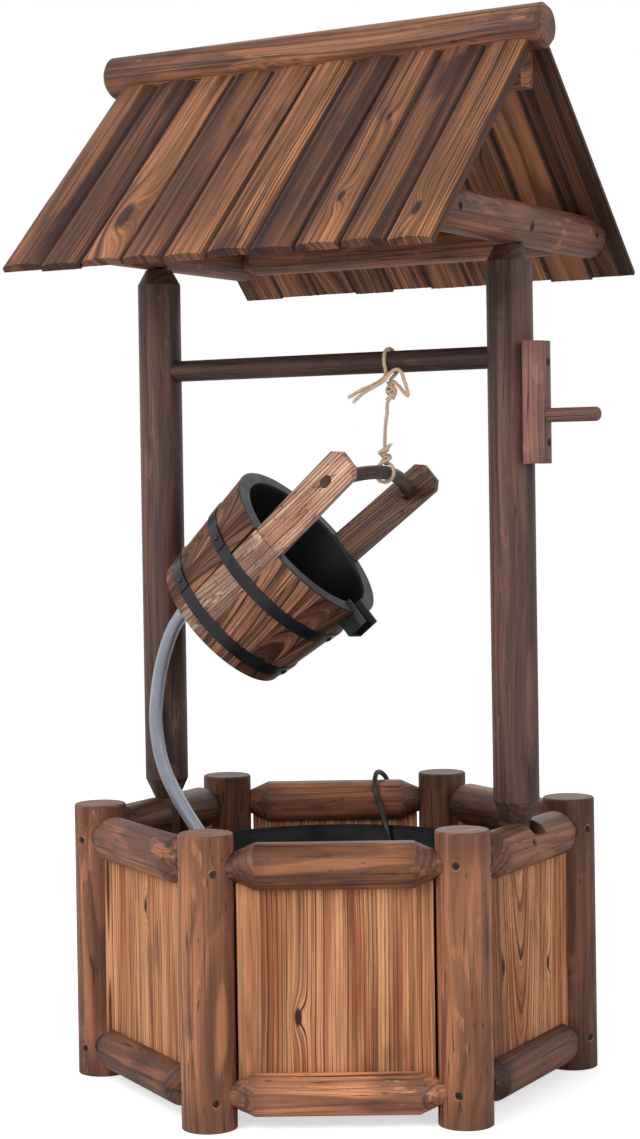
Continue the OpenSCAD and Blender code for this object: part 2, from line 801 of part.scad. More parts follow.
// Slab of a bail stave, whose faces follow the bucket's taper
module handle_slab(side) {
    mirror([0, side > 0 ? 0 : 1, 0]) translate([handle_shift, handle_in, 0])
        rotate([-handle_slope, 0, 0]) rotate([90, 0, 0]) translate([0, 0, -handle_t])
            linear_extrude(handle_t)
                polygon([[-handle_w / 2, stave_top], [handle_w / 2, stave_top],
                         [handle_w / 2, handle_h - handle_corner],
                         [handle_w / 2 - handle_corner, handle_h],
                         [handle_corner - handle_w / 2, handle_h],
                         [-handle_w / 2, handle_h - handle_corner]]);
}

// Oblong prism along Y, for the bail's tenons and their holes
module bail_tenon(grow) {
    r = bail_hole_w / 2 + grow;
    reach = (bail_hole_l - bail_hole_w) / 2;
    translate([handle_shift, -far / 2, bail_hole_z]) {
        translate([-r, 0, -reach]) cube([2 * r, far, 2 * reach]);
        for (z = [-reach, reach]) translate([0, 0, z]) rotate([-90, 0, 0])
            cylinder(h = far, r = r, $fn = fine_fn);
    }
}

module handle_stave(side) {
    color(stave_orange) in_bucket() difference() {
        union() {
            intersection() {
                stave_wall();
                handle_space(side, 0);
            }
            handle_slab(side);
        }
        bail_tenon(fit);
    }
}

// Bow of the bail between the inner faces of its staves, with its tenons
module bucket_bail() {
    color(log_brown) in_bucket() union() {
        difference() {
            translate([handle_shift, 0, bail_apex_z - bail_arc_r]) rotate([90, 0, 90])
                rotate([0, 0, 90 - bail_half_angle])
                    rotate_extrude(angle = 2 * bail_half_angle, $fn = 180)
                        translate([bail_arc_r, 0]) circle(d = bail_d, $fn = 32);
            for (side = [-1, 1]) bail_stave_space(side, clear_gap);
        }
        difference() {
            bail_tenon(0);
            translate([-far, bail_d - bail_y, -far]) cube([2 * far, 2 * (bail_y - bail_d), 2 * far]);
            for (side = [-1, 1]) bail_stave_space(side, clear_gap - handle_t);
        }
    }
}

// Half-space that begins at a gap in front of a bail stave's inner face
module bail_stave_space(side, gap) {
    mirror([0, side > 0 ? 0 : 1, 0]) translate([0, handle_in, 0]) rotate([-handle_slope, 0, 0])
        translate([-far / 2, -gap, -far / 2]) cube([far, far, far]);
}

// Liner: a tapered tub with a wide rim and a square spout through the wall
module bucket_liner() {
    inner = stave_t + liner_gap + liner_t;
    color(plastic_black) in_bucket() difference() {
        union() {
            bucket_cone(stave_t + liner_gap, liner_floor, -liner_rim_t / 2);
            translate([0, 0, -liner_rim_t]) cylinder(h = liner_rim_t, r = mouth_r, $fn = big_fn);
            translate([liner_in - liner_t, -spout_w / 2, -spout_depth])
                cube([spout_end - liner_in + liner_t, spout_w, spout_depth + spout_rise]);
        }
        bucket_cone(inner, liner_floor + liner_t, 1);
        cylinder(h = far, r = liner_in, $fn = big_fn);
        translate([0, -spout_w / 2 + spout_t, -spout_depth + spout_t])
            cube([far, spout_w - 2 * spout_t, far]);
        for (side = [-1, 1]) intersection() {
            handle_space(side, clear_gap);
            bail_stave_space(side, liner_gap);
        }
        translate([inlet_x, inlet_y, liner_floor - 1])
            cylinder(h = liner_t + 2, r = inlet_tail_r + 2 * fit, $fn = fine_fn);
    }
}

// Conical band with a second, slightly narrower layer where its ends overlap
module band(from) {
    low = -from - band_w;
    inner = fit / 2;
    lap_inset = 0.4;
    difference() {
        bucket_cone(-inner - band_t, low, -from);
        bucket_cone(-inner, low - 1, 1 - from);
        rivet_holes(from);
    }
    difference() {
        rotate([0, 0, rivet_angle - band_lap / 2])
            rotate_extrude(angle = band_lap, $fn = big_fn)
                polygon([[wall_r(low) + inner + band_t / 2, low + lap_inset],
                         [wall_r(low) + inner + 2 * band_t, low + lap_inset],
                         [wall_r(-from) + inner + 2 * band_t, -from - lap_inset],
                         [wall_r(-from) + inner + band_t / 2, -from - lap_inset]]);
        rivet_holes(from);
    }
}
rivet_hole_r = 1.6;
// Frame of a rivet: Z outwards from the band's outer face
module on_band(from, angle) {
    z = -from - band_w / 2;
    layers = angle == rivet_angle ? 2 : 1;
    rotate([0, 0, angle]) translate([wall_r(z) + fit / 2 + layers * band_t, 0, z])
        rotate([0, 90 + handle_slope, 0]) children();
}

module rivet_holes(from) {
    for (i = [0 : rivet_count - 1]) on_band(from, rivet_angle + i * 360 / rivet_count)
        translate([0, 0, -2.5 * band_t]) cylinder(h = 4 * band_t, r = rivet_hole_r, $fn = fine_fn);
}

module bucket_bands() {
    color(band_black) in_bucket() {
        band(upper_band_at);
        band(lower_band_at);
    }
}

// Rivets with low domed heads on the bands' laps
module band_rivets() {
    head_h = 1.8;
    shank_l = band_t;
    color(band_black) in_bucket()
        for (from = [upper_band_at, lower_band_at], i = [0 : rivet_count - 1])
            on_band(from, rivet_angle + i * 360 / rivet_count) translate([0, 0, fit / 2]) {
                cylinder(h = head_h / 2, d = rivet_d, $fn = 32);
                translate([0, 0, head_h / 2])
                    cylinder(h = head_h / 2, d1 = rivet_d, d2 = rivet_d / 2, $fn = 32);
                translate([0, 0, -shank_l])
                    cylinder(h = shank_l, r = rivet_hole_r - fit / 2, $fn = 24);
            }
}

// Barbed fitting with a flange inside the liner and a nut under the board
module hose_fitting() {
    flange_h = 2.5;
    top = liner_floor + liner_t + fit;
    nut_z = croze_z - fit;
    bore_r = inlet_tail_r - 2;
    tail = nut_z - inlet_nut_t - inlet_tail_l;
    color(plastic_black) in_bucket() translate([inlet_x, inlet_y, 0]) {
        turned([[bore_r, tail], [inlet_tail_r - 0.6, tail], [inlet_tail_r, tail + 5],
                [inlet_tail_r, nut_z - inlet_nut_t], [inlet_nut_r, nut_z - inlet_nut_t],
                [inlet_nut_r, nut_z], [inlet_tail_r, nut_z], [inlet_tail_r, top],
                [inlet_nut_r, top], [inlet_nut_r, top + flange_h], [bore_r, top + flange_h]]);
    }
}

// The screw enters the left upright's outer side and rises into the bucket
module at_bucket_screw() {
    head = bucket_screw_head();
    translate(head) rotate([0, -90 - bucket_screw_rise, 0]) children();
}
// Point on the wood ring of the bucket's lower edge where the screw goes in
bucket_edge_x = bucket_x - bucket_l * bucket_axis_x
    - (bottom_r - stave_t / 2) * sqrt(1 - pow(bucket_axis_x, 2));
bucket_edge_z = bucket_z - bucket_l * cos(bucket_tilt)
    + (bottom_r - stave_t / 2) * sin(bucket_tilt);
function bucket_screw_head() =
    [screw_sink - upright_out, 0,
     bucket_edge_z - (bucket_edge_x + upright_out - screw_sink) * tan(bucket_screw_rise)];

module bucket_screw_cut() {
    rotate([0, 0, -bucket_roll]) rotate([0, -bucket_tilt, 0]) rotate([0, 0, -bucket_turn])
        translate([-bucket_x, -bucket_y, -bucket_z]) at_bucket_screw()
            screw_space(bucket_screw_l);
}

module basin() {
    wall_top = basin_h - lip_h;
    lip_step = basin_t;
    color(plastic_black)
        turned([[0, 0], [basin_bottom_r, 0], [basin_wall_r, wall_top], [basin_r, wall_top],
                [basin_r, basin_h], [basin_r - lip_step, basin_h],
                [basin_r - lip_step, wall_top + basin_t], [basin_wall_r - basin_t, wall_top + basin_t],
                [basin_bottom_r - basin_t, basin_floor], [0, basin_floor]]);
}

// Pump's own frame: X from the motor towards the strainer, Z up from its feet
module in_pump() {
    translate([pump_x, nozzle_y, pump_z]) children();
}

// Block along X with rounded long edges
module rounded_block(x, length, w, h, r) {
    translate([x, 0, h / 2]) rotate([0, 90, 0]) {
        translate([0, 0, length / 2]) {
            cube([h, w - 2 * r, length], center = true);
            cube([h - 2 * r, w, length], center = true);
        }
        for (i = [-1, 1], j = [-1, 1])
            translate([i * (h / 2 - r), j * (w / 2 - r), 0]) cylinder(h = length, r = r, $fn = 48);
    }
}

module rotor_bore(x, length, r) {
    translate([x, 0, rotor_z]) rotate([0, 90, 0]) cylinder(h = length, r = r, $fn = 48);
}

module at_feet() {
    inset = 9;
    for (x = [inset, pump_l - inset], y = [inset - pump_w / 2, pump_w / 2 - inset])
        translate([x, y, 0]) children();
}

module pump_body() {
    stud_r = 2;
    color(plastic_black) in_pump() difference() {
        union() {
            rounded_block(0, pump_l, pump_w, pump_h, pump_edge_r);
            translate([gland_x, pump_w / 2 - 1, gland_z]) rotate([-90, 0, 0])
                cylinder(h = gland_l + 1, r1 = gland_r, r2 = gland_r - 1.5, $fn = 32);
        }
        rotor_bore(pump_l - well_l, well_l + 1, well_r);
        rotor_bore(pump_l - well_l - bearing_l, bearing_l + 1, shaft_d / 2 + shaft_fit);
        translate([gland_x, pump_w / 2 + gland_l - 5, gland_z]) rotate([-90, 0, 0])
            cylinder(h = 6, r = lead_d / 2 + 0.05, $fn = 32);
        at_feet() translate([0, 0, -1]) cylinder(h = 4, r = stud_r + fit / 2, $fn = 32);
    }
}

// Impeller chamber, open to the motor side and to the strainer, with a nozzle
module pump_chamber() {
    chamber_r = vane_r + rotor_gap + 1;
    bore_r = nozzle_d / 2 - 2;
    nozzle_at = chamber_x + chamber_l / 2;
    color(plastic_black) in_pump() difference() {
        union() {
            rounded_block(chamber_x + fit, chamber_l - fit, pump_w, pump_h, pump_edge_r);
            translate([nozzle_at, 0, pump_h - 1])
                cylinder(h = nozzle_h + 1, d = nozzle_d, $fn = 48);
        }
        rotor_bore(chamber_x - 1, chamber_l - wall_t + 1, chamber_r);
        rotor_bore(chamber_x, chamber_l + 1, vane_r / 2);
        translate([nozzle_at, 0, rotor_z]) cylinder(h = far, r = bore_r, $fn = 48);
    }
}

// Strainer: a cap with slots in its face, and a bush for the rotor's shaft
module pump_strainer() {
    wall = strainer_t;
    inner_l = strainer_l - wall;
    pitch = (pump_w - 12) / strainer_slots;
    slot_w = pitch * 0.45;
    slot_h = 14;
    bush_r = 3.5;
    color(plastic_black) in_pump() difference() {
        union() {
            difference() {
                rounded_block(strainer_x + fit, strainer_l - fit, pump_w, pump_h, pump_edge_r);
                translate([0, 0, wall])
                    rounded_block(strainer_x - 1, inner_l + 1, pump_w - 2 * wall,
                                  pump_h - 2 * wall, pump_edge_r - wall);
            }
            rotor_bore(strainer_x + fit, strainer_l - fit, bush_r);
        }
        rotor_bore(strainer_x - 1, bearing_l + 1, shaft_d / 2 + shaft_fit);
        for (i = [0 : strainer_slots - 1])
            translate([strainer_x + inner_l - 1, (i + 0.5 - strainer_slots / 2) * pitch - slot_w / 2,
                       pump_h - slot_h - 4])
                cube([wall + 3, slot_w, slot_h]);
        dial_socket(0.05);
    }
}

module dial_socket(grow) {
    translate([strainer_x + strainer_l - strainer_t - 2, dial_y, dial_z]) rotate([0, 90, 0])
        cylinder(h = 6, r = dial_stem_r + grow, $fn = 32);
}
dial_y = -11;
dial_stem_r = 2.5;

// Rotor: magnet, shaft and a disc with vanes
module pump_impeller() {
    vane_t = 1.6;
    hub_r = 5;
    disc_t = 1.5;
    magnet_x = pump_l - magnet_l - 1;
    disc_x = pump_l + 1.5;
    color("ivory") in_pump() {
        rotor_bore(magnet_x, magnet_l, magnet_d / 2);
        rotor_bore(pump_l - well_l - bearing_l + 0.6,
                   well_l + 2 * bearing_l + chamber_l - 1.2, shaft_d / 2);
        rotor_bore(magnet_x + magnet_l - 1, disc_x - magnet_x - magnet_l + 2, hub_r);
        rotor_bore(disc_x, disc_t, vane_r);
        translate([disc_x + disc_t - 0.2, 0, rotor_z]) for (i = [0 : vane_count - 1])
            rotate([360 * i / vane_count, 0, 0]) translate([0, -vane_t / 2, 2])
                cube([vane_l - disc_t, vane_t, vane_r - 3]);
    }
}

// Dial that covers more or fewer slots; it turns on a stem in the strainer
module pump_dial() {
    face_x = strainer_x + strainer_l + clear_gap;
    lip = 1.2;
    color("dimgray") in_pump() {
        translate([face_x, dial_y, dial_z]) rotate([0, 90, 0])
            cylinder(h = dial_t - lip, d = dial_d, $fn = 48);
        translate([face_x, dial_y, dial_z]) rotate([0, 90, 0])
            cylinder(h = dial_t, d = dial_d - 5, $fn = 48);
        translate([face_x + dial_t - 0.5, dial_y - 1.2, dial_z - dial_d / 2 + 3])
            cube([2.5, 2.4, dial_d - 6]);
        translate([face_x - 1.8, dial_y, dial_z]) rotate([0, 90, 0])
            cylinder(h = 2.5, r = dial_stem_r, $fn = 32);
    }
}

module pump_feet() {
    stud_r = 2;
    color("dimgray") in_pump() at_feet() {
        translate([0, 0, -foot_h])
            turned([[0, 1.6], [suction_d / 2 - 1.2, 0], [suction_d / 2, 0], [stud_r + 1.5, 3],
                    [stud_r + 1.5, foot_h - fit], [stud_r, foot_h - fit], [stud_r, foot_h + 2.5],
                    [0, foot_h + 2.5]]);
    }
}

function unit(v) = v / norm(v);
function mix(a, b, t) = a * (1 - t) + b * t;

// Smooth curve through the points p, at place t between points i and i + 1
function curve_at(p, i, t) =
    let (n = len(p) - 1, a = p[max(i - 1, 0)], b = p[i], c = p[i + 1], d = p[min(i + 2, n)])
    0.5 * (2 * b + (c - a) * t + (2 * a - 5 * b + 4 * c - d) * t * t
        + (3 * b - a - 3 * c + d) * t * t * t);

// Points along the curve, about one step apart
function smooth(p, step) =
    concat([for (i = [0 : len(p) - 2])
        let (count = max(1, round(norm(p[i + 1] - p[i]) / step)))
        for (j = [0 : count - 1]) curve_at(p, i, j / count)], [p[len(p) - 1]]);

function tangent(p, i) = unit(p[min(i + 1, len(p) - 1)] - p[max(i - 1, 0)]);

// Frames carried along a path without twist: each holds a side vector
function carried(p, i, v) = let (t = tangent(p, i)) unit(v - (v * t) * t);
function side_vectors(p, i = 0, v = [0, 0.3, 1]) =
    i >= len(p) ? [] :
    let (s = carried(p, i, v)) concat([s], side_vectors(p, i + 1, s));

// Tube of one radius along a path
module tube(p, r, sides) {
    n = len(p);
    side = side_vectors(p);
    points = [for (i = [0 : n - 1])
        let (t = tangent(p, i), u = side[i], w = cross(t, u))
        for (j = [0 : sides - 1])
            p[i] + r * cos(360 * j / sides) * u + r * sin(360 * j / sides) * w];
    walls = [for (i = [0 : n - 2], j = [0 : sides - 1])
        let (a = i * sides + j, b = i * sides + (j + 1) % sides)
        each [[a, b + sides, b], [a, a + sides, b + sides]]];
    start = [for (j = [1 : sides - 2]) [0, j, j + 1]];
    last = (n - 1) * sides;
    finish = [for (j = [1 : sides - 2]) [last, last + j + 1, last + j]];
    polyhedron(points = points, faces = concat(walls, start, finish));
}

// A point of the bucket's frame in the fountain's frame
function turn_z(v, a) = [v[0] * cos(a) - v[1] * sin(a), v[0] * sin(a) + v[1] * cos(a), v[2]];
function turn_y(v, a) = [v[0] * cos(a) + v[2] * sin(a), v[1], v[2] * cos(a) - v[0] * sin(a)];
function from_bucket(v) =
    turn_z(turn_y(turn_z(v, bucket_roll), bucket_tilt), bucket_turn)
    + [bucket_x, bucket_y, bucket_z];

// The hose starts over the fitting's tail and ends over the pump's nozzle
hose_start = croze_z - fit - inlet_nut_t - clear_gap;
nozzle_top = pump_z + pump_h + clear_gap;
function hose_path() = smooth(concat(
    [from_bucket([inlet_x, inlet_y, hose_start]),
     from_bucket([inlet_x, inlet_y, hose_start - hose_d / 2])],
    HOSE_ROUTE,
    [[nozzle_x, nozzle_y, nozzle_top + hose_d], [nozzle_x, nozzle_y, nozzle_top]]), hose_ring_step);

module hose() {
    color(hose_clear) tube(hose_path(), hose_d / 2, 12);
}

gland_mouth = [pump_x + gland_x, nozzle_y + pump_w / 2 + gland_l - 5, pump_z + gland_z];
gland_exit = gland_mouth + [0, 12, 0];
// The coil's inner layer lies on the ground and its outer layer on top of it
lead_lift = 0.4;
function coil_point(turn, z) =
    let (half = coil_turns / 2, inwards = turn < half ? turn : coil_turns - turn,
         r = coil_mean_r + coil_pitch * (half / 2 - inwards))
    [coil_x + r * cos(coil_entry_angle + 360 * turn),
     coil_y + r * sin(coil_entry_angle + 360 * turn), z];
coil_entry_angle = 75;
function coil_height(turn) =
    let (half = coil_turns / 2, t = min(max((turn - half) / 0.5 + 0.5, 0), 1))
    lead_d / 2 + lead_lift + coil_step * t * t * (3 - 2 * t);
coil_count = round(coil_turns * coil_rings);
function coil_wound() = [for (i = [0 : coil_count])
    let (turn = i / coil_rings) coil_point(turn, coil_height(turn))];
function flat(v) = unit([v[0], v[1], 0]);
// The coil's straight ends: the outer one runs clear of the turns below it
coil_end_l = 30;
function coil_path() =
    let (p = coil_wound(), n = len(p))
    concat([p[0] + lead_d * flat(p[0] - p[1])], p,
           [for (l = [lead_d, coil_end_l]) p[n - 1] + l * flat(p[n - 1] - p[n - 2])]);

// Least distance between turns, from points that lie a third of a turn apart
function least_gap(p) = min([for (i = [0 : len(p) - 1])
    for (j = [i + 8 : 1 : len(p) - 1]) norm(p[i] - p[j])]) - lead_d;

module cord_coil() {
    echo(least_gap_in_coil = least_gap(coil_path()));
    color(plastic_black) tube(coil_path(), lead_d / 2, coil_sides);
}

coil_in = coil_path()[0];
coil_in_direction = unit(coil_path()[1] - coil_path()[0]);
function lead_path() = smooth(concat([gland_mouth, gland_exit], LEAD_ROUTE,
    [coil_in - 30 * coil_in_direction, coil_in - 12 * coil_in_direction, coil_in]), lead_ring_step);

module power_cord() {
    color(plastic_black) tube(lead_path(), lead_d / 2, 8);
}

// Two-pin plug with a tapered strain relief, lying at the coil's outer end
module power_plug() {
    body_l = 34;
    body_w = 24;
    relief_l = 16;
    pin_l = 17;
    pin_w = 6.3;
    pin_t = 1.6;
    pin_gap = 12.7;
    path = coil_path();
    end = path[len(path) - 1];
    way = unit(end - path[len(path) - 2]);
    body_h = 2 * end[2];
    color(plastic_black) translate(end) rotate([0, 0, atan2(way[1], way[0])]) {
        rotate([0, 90, 0]) cylinder(h = relief_l, r1 = lead_d / 2 + 0.8, r2 = 7, $fn = 32);
        translate([relief_l - 1, 0, 0]) rotate([0, 90, 0]) rounded_prism(body_l, body_h, body_w);
        for (s = [-1, 1])
            translate([relief_l + body_l - 2, s * pin_gap / 2 - pin_t / 2, -pin_w / 2])
                cube([pin_l, pin_t, pin_w]);
    }
}

module rounded_prism(length, h, w) {
    r = 5;
    translate([0, 0, length / 2]) {
        cube([h, w - 2 * r, length], center = true);
        cube([h - 2 * r, w, length], center = true);
    }
    for (i = [-1, 1], j = [-1, 1])
        translate([i * (h / 2 - r), j * (w / 2 - r), 0]) cylinder(h = length, r = r, $fn = 48);
}

// The rope: a tail, a turn over the rod, a hitch, the drop to the bail, a turn
// round the bail and the knot above it
rope_r = rope_d / 2;
ROPE_ROUTE = [
    [38, -16, 773], [50, -15, 779], [63, -14, 784], [74, -13, 789], [81, -13, 794],
    [83, -14.5, 801], [81.5, -15, 811], [80, -9, 823], [80, 3, 826], [81, 12, 820.5],
    [82.5, 15.2, 811], [84, 11, 800.5], [84.5, 3, 795.5], [83.5, -4, 790], [85, -6, 783],
    [91, -7, 779], [91, -9, 773], [85, -9, 769.5], [79.5, -5, 764], [75, 2, 753],
    [70, 8, 743.5], [64.5, 16, 732], [59.5, 24, 720], [57.5, 28, 710], [56, 31, 702],
    [56, 31.5, 696.5], [62, 30, 696], [67.8, 27.5, 691.4], [69.5, 25.5, 684], [66, 23.5, 677.3],
    [59.1, 22, 675], [52.2, 22, 677.6], [48.5, 22.5, 684], [49.5, 23.5, 691.5],
    [54, 24.5, 696.6], [60, 24, 699], [63.5, 28, 702], [60.5, 33.5, 705], [53.5, 33.5, 707],
    [51, 27.5, 708.5], [55.5, 22, 710], [61.5, 22.5, 712.5], [66, 24, 717]
];
// The second tail and the bow
BOW_ROUTE = [
    [44, -17, 768], [54, -18, 775], [65, -18.5, 780.5], [76, -19, 785.5], [84, -19, 790],
    [90, -18, 797], [98, -17, 801.5], [104.5, -17, 798], [108, -17, 788.5], [111, -16, 778],
    [110.5, -14, 772], [105.5, -12.5, 775], [100, -12, 781], [94.5, -11.5, 786], [90, -9.5, 788.5],
    [85.6, -6.7, 787.2]
];

// The routes were laid with the bucket's mouth at this X; the rope follows it
rope_bucket_x = -39.47;
function with_bucket(route) =
    [for (p = route) p + [bucket_x - rope_bucket_x, 0, 0]];

module rope() {
    color(rope_tan) {
        tube(smooth(with_bucket(ROPE_ROUTE), rope_ring_step), rope_r, 8);
        tube(smooth(with_bucket(BOW_ROUTE), rope_ring_step), rope_r, 8);
    }
}

module post_screws() {
    color(screw_dark) for (k = [1 : side_count], end = [-1, 1], z = [bottom_rail_z, top_rail_z])
        on_side(k) mirror([0, end > 0 ? 0 : 1, 0])
            translate([0, 0, z + (end > 0 ? screw_level_b : screw_level_a)])
                along_rail(side_half + post_chord - screw_sink) screw(post_screw_l);
}

// Screws of the uprights' feet, the tie beams, the purlins, the crank plate
// and the bucket
module fixing_screws() {
    color(screw_dark) {
        for (k = [2, 5]) on_side(k) at_foot_screw() screw(foot_screw_l);
        for (s = [0, 1]) mirror([s, 0, 0]) {
            at_tie_screw() screw(tie_screw_l);
            for (side = [-1, 1]) at_purlin_screw(side) screw(purlin_screw_l);
        }
        crank_screw_places() screw(crank_screw_l);
        at_bucket_screw() screw(bucket_screw_l);
    }
}

post(1);  // post_1
post(2);  // post_2
post(3);  // post_3
post(4);  // post_4
post(5);  // post_5
post(6);  // post_6
top_rail(1);  // top_rail_1
top_rail(2);  // top_rail_2
top_rail(3);  // top_rail_3
top_rail(4);  // top_rail_4
top_rail(5);  // top_rail_5
top_rail(6);  // top_rail_6
bottom_rail(1);  // bottom_rail_1
bottom_rail(2);  // bottom_rail_2
bottom_rail(3);  // bottom_rail_3
bottom_rail(4);  // bottom_rail_4
bottom_rail(5);  // bottom_rail_5
bottom_rail(6);  // bottom_rail_6
panel(1);  // panel_1
panel(2);  // panel_2
panel(3);  // panel_3
panel(4);  // panel_4
panel(5);  // panel_5
panel(6);  // panel_6
upright(-1);  // upright_left
upright(1);  // upright_right
windlass_rod();
crank_plate();
crank_peg();
tie_beam(-1);  // tie_beam_left
tie_beam(1);  // tie_beam_right
purlin(-1);  // purlin_front
purlin(1);  // purlin_rear
ridge_batten();
ridge_log();
roof_boards(-1);  // roof_boards_front
roof_boards(1);  // roof_boards_rear
bucket_staves();
bucket_base();
bucket_liner();
bucket_bands();
band_rivets();
handle_stave(-1);  // handle_stave_front
handle_stave(1);  // handle_stave_rear
bucket_bail();
hose_fitting();
basin();
pump_body();
pump_chamber();
pump_strainer();
pump_impeller();
pump_dial();
pump_feet();
hose();
rope();
power_cord();
cord_coil();
power_plug();
post_screws();
fixing_screws();
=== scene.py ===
"""Looks of the garden fountain: burnt wood, roof boards, bucket, rope, hose and stage."""

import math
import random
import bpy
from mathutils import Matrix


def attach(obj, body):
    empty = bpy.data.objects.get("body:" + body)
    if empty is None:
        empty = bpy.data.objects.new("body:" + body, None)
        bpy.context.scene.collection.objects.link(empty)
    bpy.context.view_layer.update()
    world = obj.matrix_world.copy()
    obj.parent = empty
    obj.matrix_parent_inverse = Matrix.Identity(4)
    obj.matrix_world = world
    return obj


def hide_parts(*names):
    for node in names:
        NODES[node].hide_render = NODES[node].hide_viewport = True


bl_info = {
    "name": "Garden Fountain Looks",
    "version": (1, 0, 0),
    "blender": (4, 5, 0),
    "location": "3D View > Sidebar > Fountain",
    "description": "Dresses the packed fountain in burnt wood, black plastic, jute and clear hose",
    "category": "Object",
}

import bmesh
import bpy
from bpy.props import FloatProperty, FloatVectorProperty, IntProperty, PointerProperty
from mathutils import Matrix, Vector

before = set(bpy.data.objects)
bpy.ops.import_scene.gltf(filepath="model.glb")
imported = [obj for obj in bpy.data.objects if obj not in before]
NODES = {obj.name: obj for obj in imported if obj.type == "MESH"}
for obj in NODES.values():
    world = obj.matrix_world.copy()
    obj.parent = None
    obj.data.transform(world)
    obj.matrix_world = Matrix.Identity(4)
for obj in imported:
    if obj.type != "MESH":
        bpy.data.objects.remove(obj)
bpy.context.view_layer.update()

MM = 0.001
TURN = 2 * math.pi

# Sizes that part.scad also holds, in millimetres
POST_CIRCLE = 270.0
SIDE_STEP = 60
RAIL_SHIFT = 6.0
RAIL_X = POST_CIRCLE * math.cos(math.radians(30)) + RAIL_SHIFT
SIDE_HALF = POST_CIRCLE / 2
POST_R = 29.5
POST_CHORD = math.sqrt(POST_R**2 - RAIL_SHIFT**2)
TOP_RAIL_Z = 275.0
BOTTOM_RAIL_Z = 35.6
UPRIGHT_X = 232.5
UPRIGHT_R = 25.5
ROD_Z = 811.0
TIE_X = 238.0
TIE_Z = 957.5
TIE_R = 24.0
PURLIN_Y = 174.0
PURLIN_R = 21.0
SLOPE = math.radians(44.5)
APEX_Z = TIE_Z + math.tan(SLOPE) * PURLIN_Y + (PURLIN_R + 0.4) / math.cos(SLOPE)
BATTEN_TOP = APEX_Z - math.tan(SLOPE) * 15 - 0.3 / math.cos(SLOPE)
RIDGE_R = 25.0
RIDGE_Z = BATTEN_TOP + 0.2 + RIDGE_R
RIDGE_SHIFT = 6.0
BOARD_L = 331.0
REAR_SHIFT = 6.0
BOARD_START = RIDGE_R + 0.3 - (RIDGE_Z - APEX_Z) * math.sin(SLOPE)
CRANK_CREST = UPRIGHT_X + UPRIGHT_R + 0.2 + 20
SCREW_SINK = 1.6
BOTTOM_R = 90.9
BUCKET_L = 144.0
BUCKET_TILT = math.radians(49.4)
BUCKET_TURN = math.radians(7.6)
BUCKET_ROLL = math.radians(-5)
STAVE_T = 13.0
LEAD_D = 6.5
HOSE_D = 16.0
ROPE_D = 3.5

AXIS_X = math.sin(BUCKET_TILT) * math.cos(BUCKET_TURN)
BUCKET_X = BOTTOM_R * math.sqrt(1 - AXIS_X**2) + BUCKET_L * AXIS_X - (UPRIGHT_X - UPRIGHT_R) + 0.3
BUCKET_DROP = 204.5
BUCKET_AT = Vector((BUCKET_X, 13.5, ROD_Z - BUCKET_DROP)) * MM
BUCKET = (
    Matrix.Translation(BUCKET_AT)
    @ Matrix.Rotation(BUCKET_TURN, 4, "Z")
    @ Matrix.Rotation(BUCKET_TILT, 4, "Y")
    @ Matrix.Rotation(BUCKET_ROLL, 4, "Z")
)

# Routes that part.scad also holds, in millimetres
HOSE_ROUTE = (
    (-182, -28, 529), (-190, -31, 518), (-199, -34, 502), (-208, -36, 478), (-215, -37, 452),
    (-220, -37, 424), (-222, -37, 396), (-219, -36, 365), (-211, -36, 338), (-199, -35, 314),
    (-184, -35, 292), (-164, -35, 266), (-146, -35, 240), (-131, -35, 212), (-118, -35, 180),
    (-110, -35, 145), (-106, -35, 112),
)
NOZZLE = (-105, -35)
NOZZLE_TOP = 55.3
HOSE_START = -140.5
INLET = (-35, -25)
GLAND_MOUTH = (-137, -9, 23)
LEAD_ROUTE = (
    (-144, 24, 23), (-141, 45, 19), (-129, 85, 11), (-108, 122, 7), (-82, 150, 8),
    (-58, 168, 24), (-44, 178, 62), (-37, 184, 115), (-33, 186, 175), (-31, 188, 225),
    (-37, 190, 250), (-47, 198, 265), (-59, 210, 280), (-67, 217, 299), (-71, 230, 310),
    (-72, 247, 306), (-74, 262, 295), (-77, 273, 275), (-79, 278, 240), (-81, 281, 190),
    (-83, 284, 130), (-84, 287, 75), (-86, 293, 36), (-92, 301, 12), (-103, 309, 5),
)
COIL_AT = (-165, 282)
COIL_MEAN_R = 36.0
COIL_TURNS = 4
COIL_PITCH = LEAD_D + 0.9
COIL_STEP = LEAD_D + 0.7
COIL_RINGS = 24
COIL_ENTRY = math.radians(75)
COIL_END_L = 30.0
ROPE_ROUTE = (
    (38, -16, 773), (50, -15, 779), (63, -14, 784), (74, -13, 789), (81, -13, 794),
    (83, -14.5, 801), (81.5, -15, 811), (80, -9, 823), (80, 3, 826), (81, 12, 820.5),
    (82.5, 15.2, 811), (84, 11, 800.5), (84.5, 3, 795.5), (83.5, -4, 790), (85, -6, 783),
    (91, -7, 779), (91, -9, 773), (85, -9, 769.5), (79.5, -5, 764), (75, 2, 753),
    (70, 8, 743.5), (64.5, 16, 732), (59.5, 24, 720), (57.5, 28, 710), (56, 31, 702),
    (56, 31.5, 696.5), (62, 30, 696), (67.8, 27.5, 691.4), (69.5, 25.5, 684), (66, 23.5, 677.3),
    (59.1, 22, 675), (52.2, 22, 677.6), (48.5, 22.5, 684), (49.5, 23.5, 691.5),
    (54, 24.5, 696.6), (60, 24, 699), (63.5, 28, 702), (60.5, 33.5, 705), (53.5, 33.5, 707),
    (51, 27.5, 708.5), (55.5, 22, 710), (61.5, 22.5, 712.5), (66, 24, 717),
)
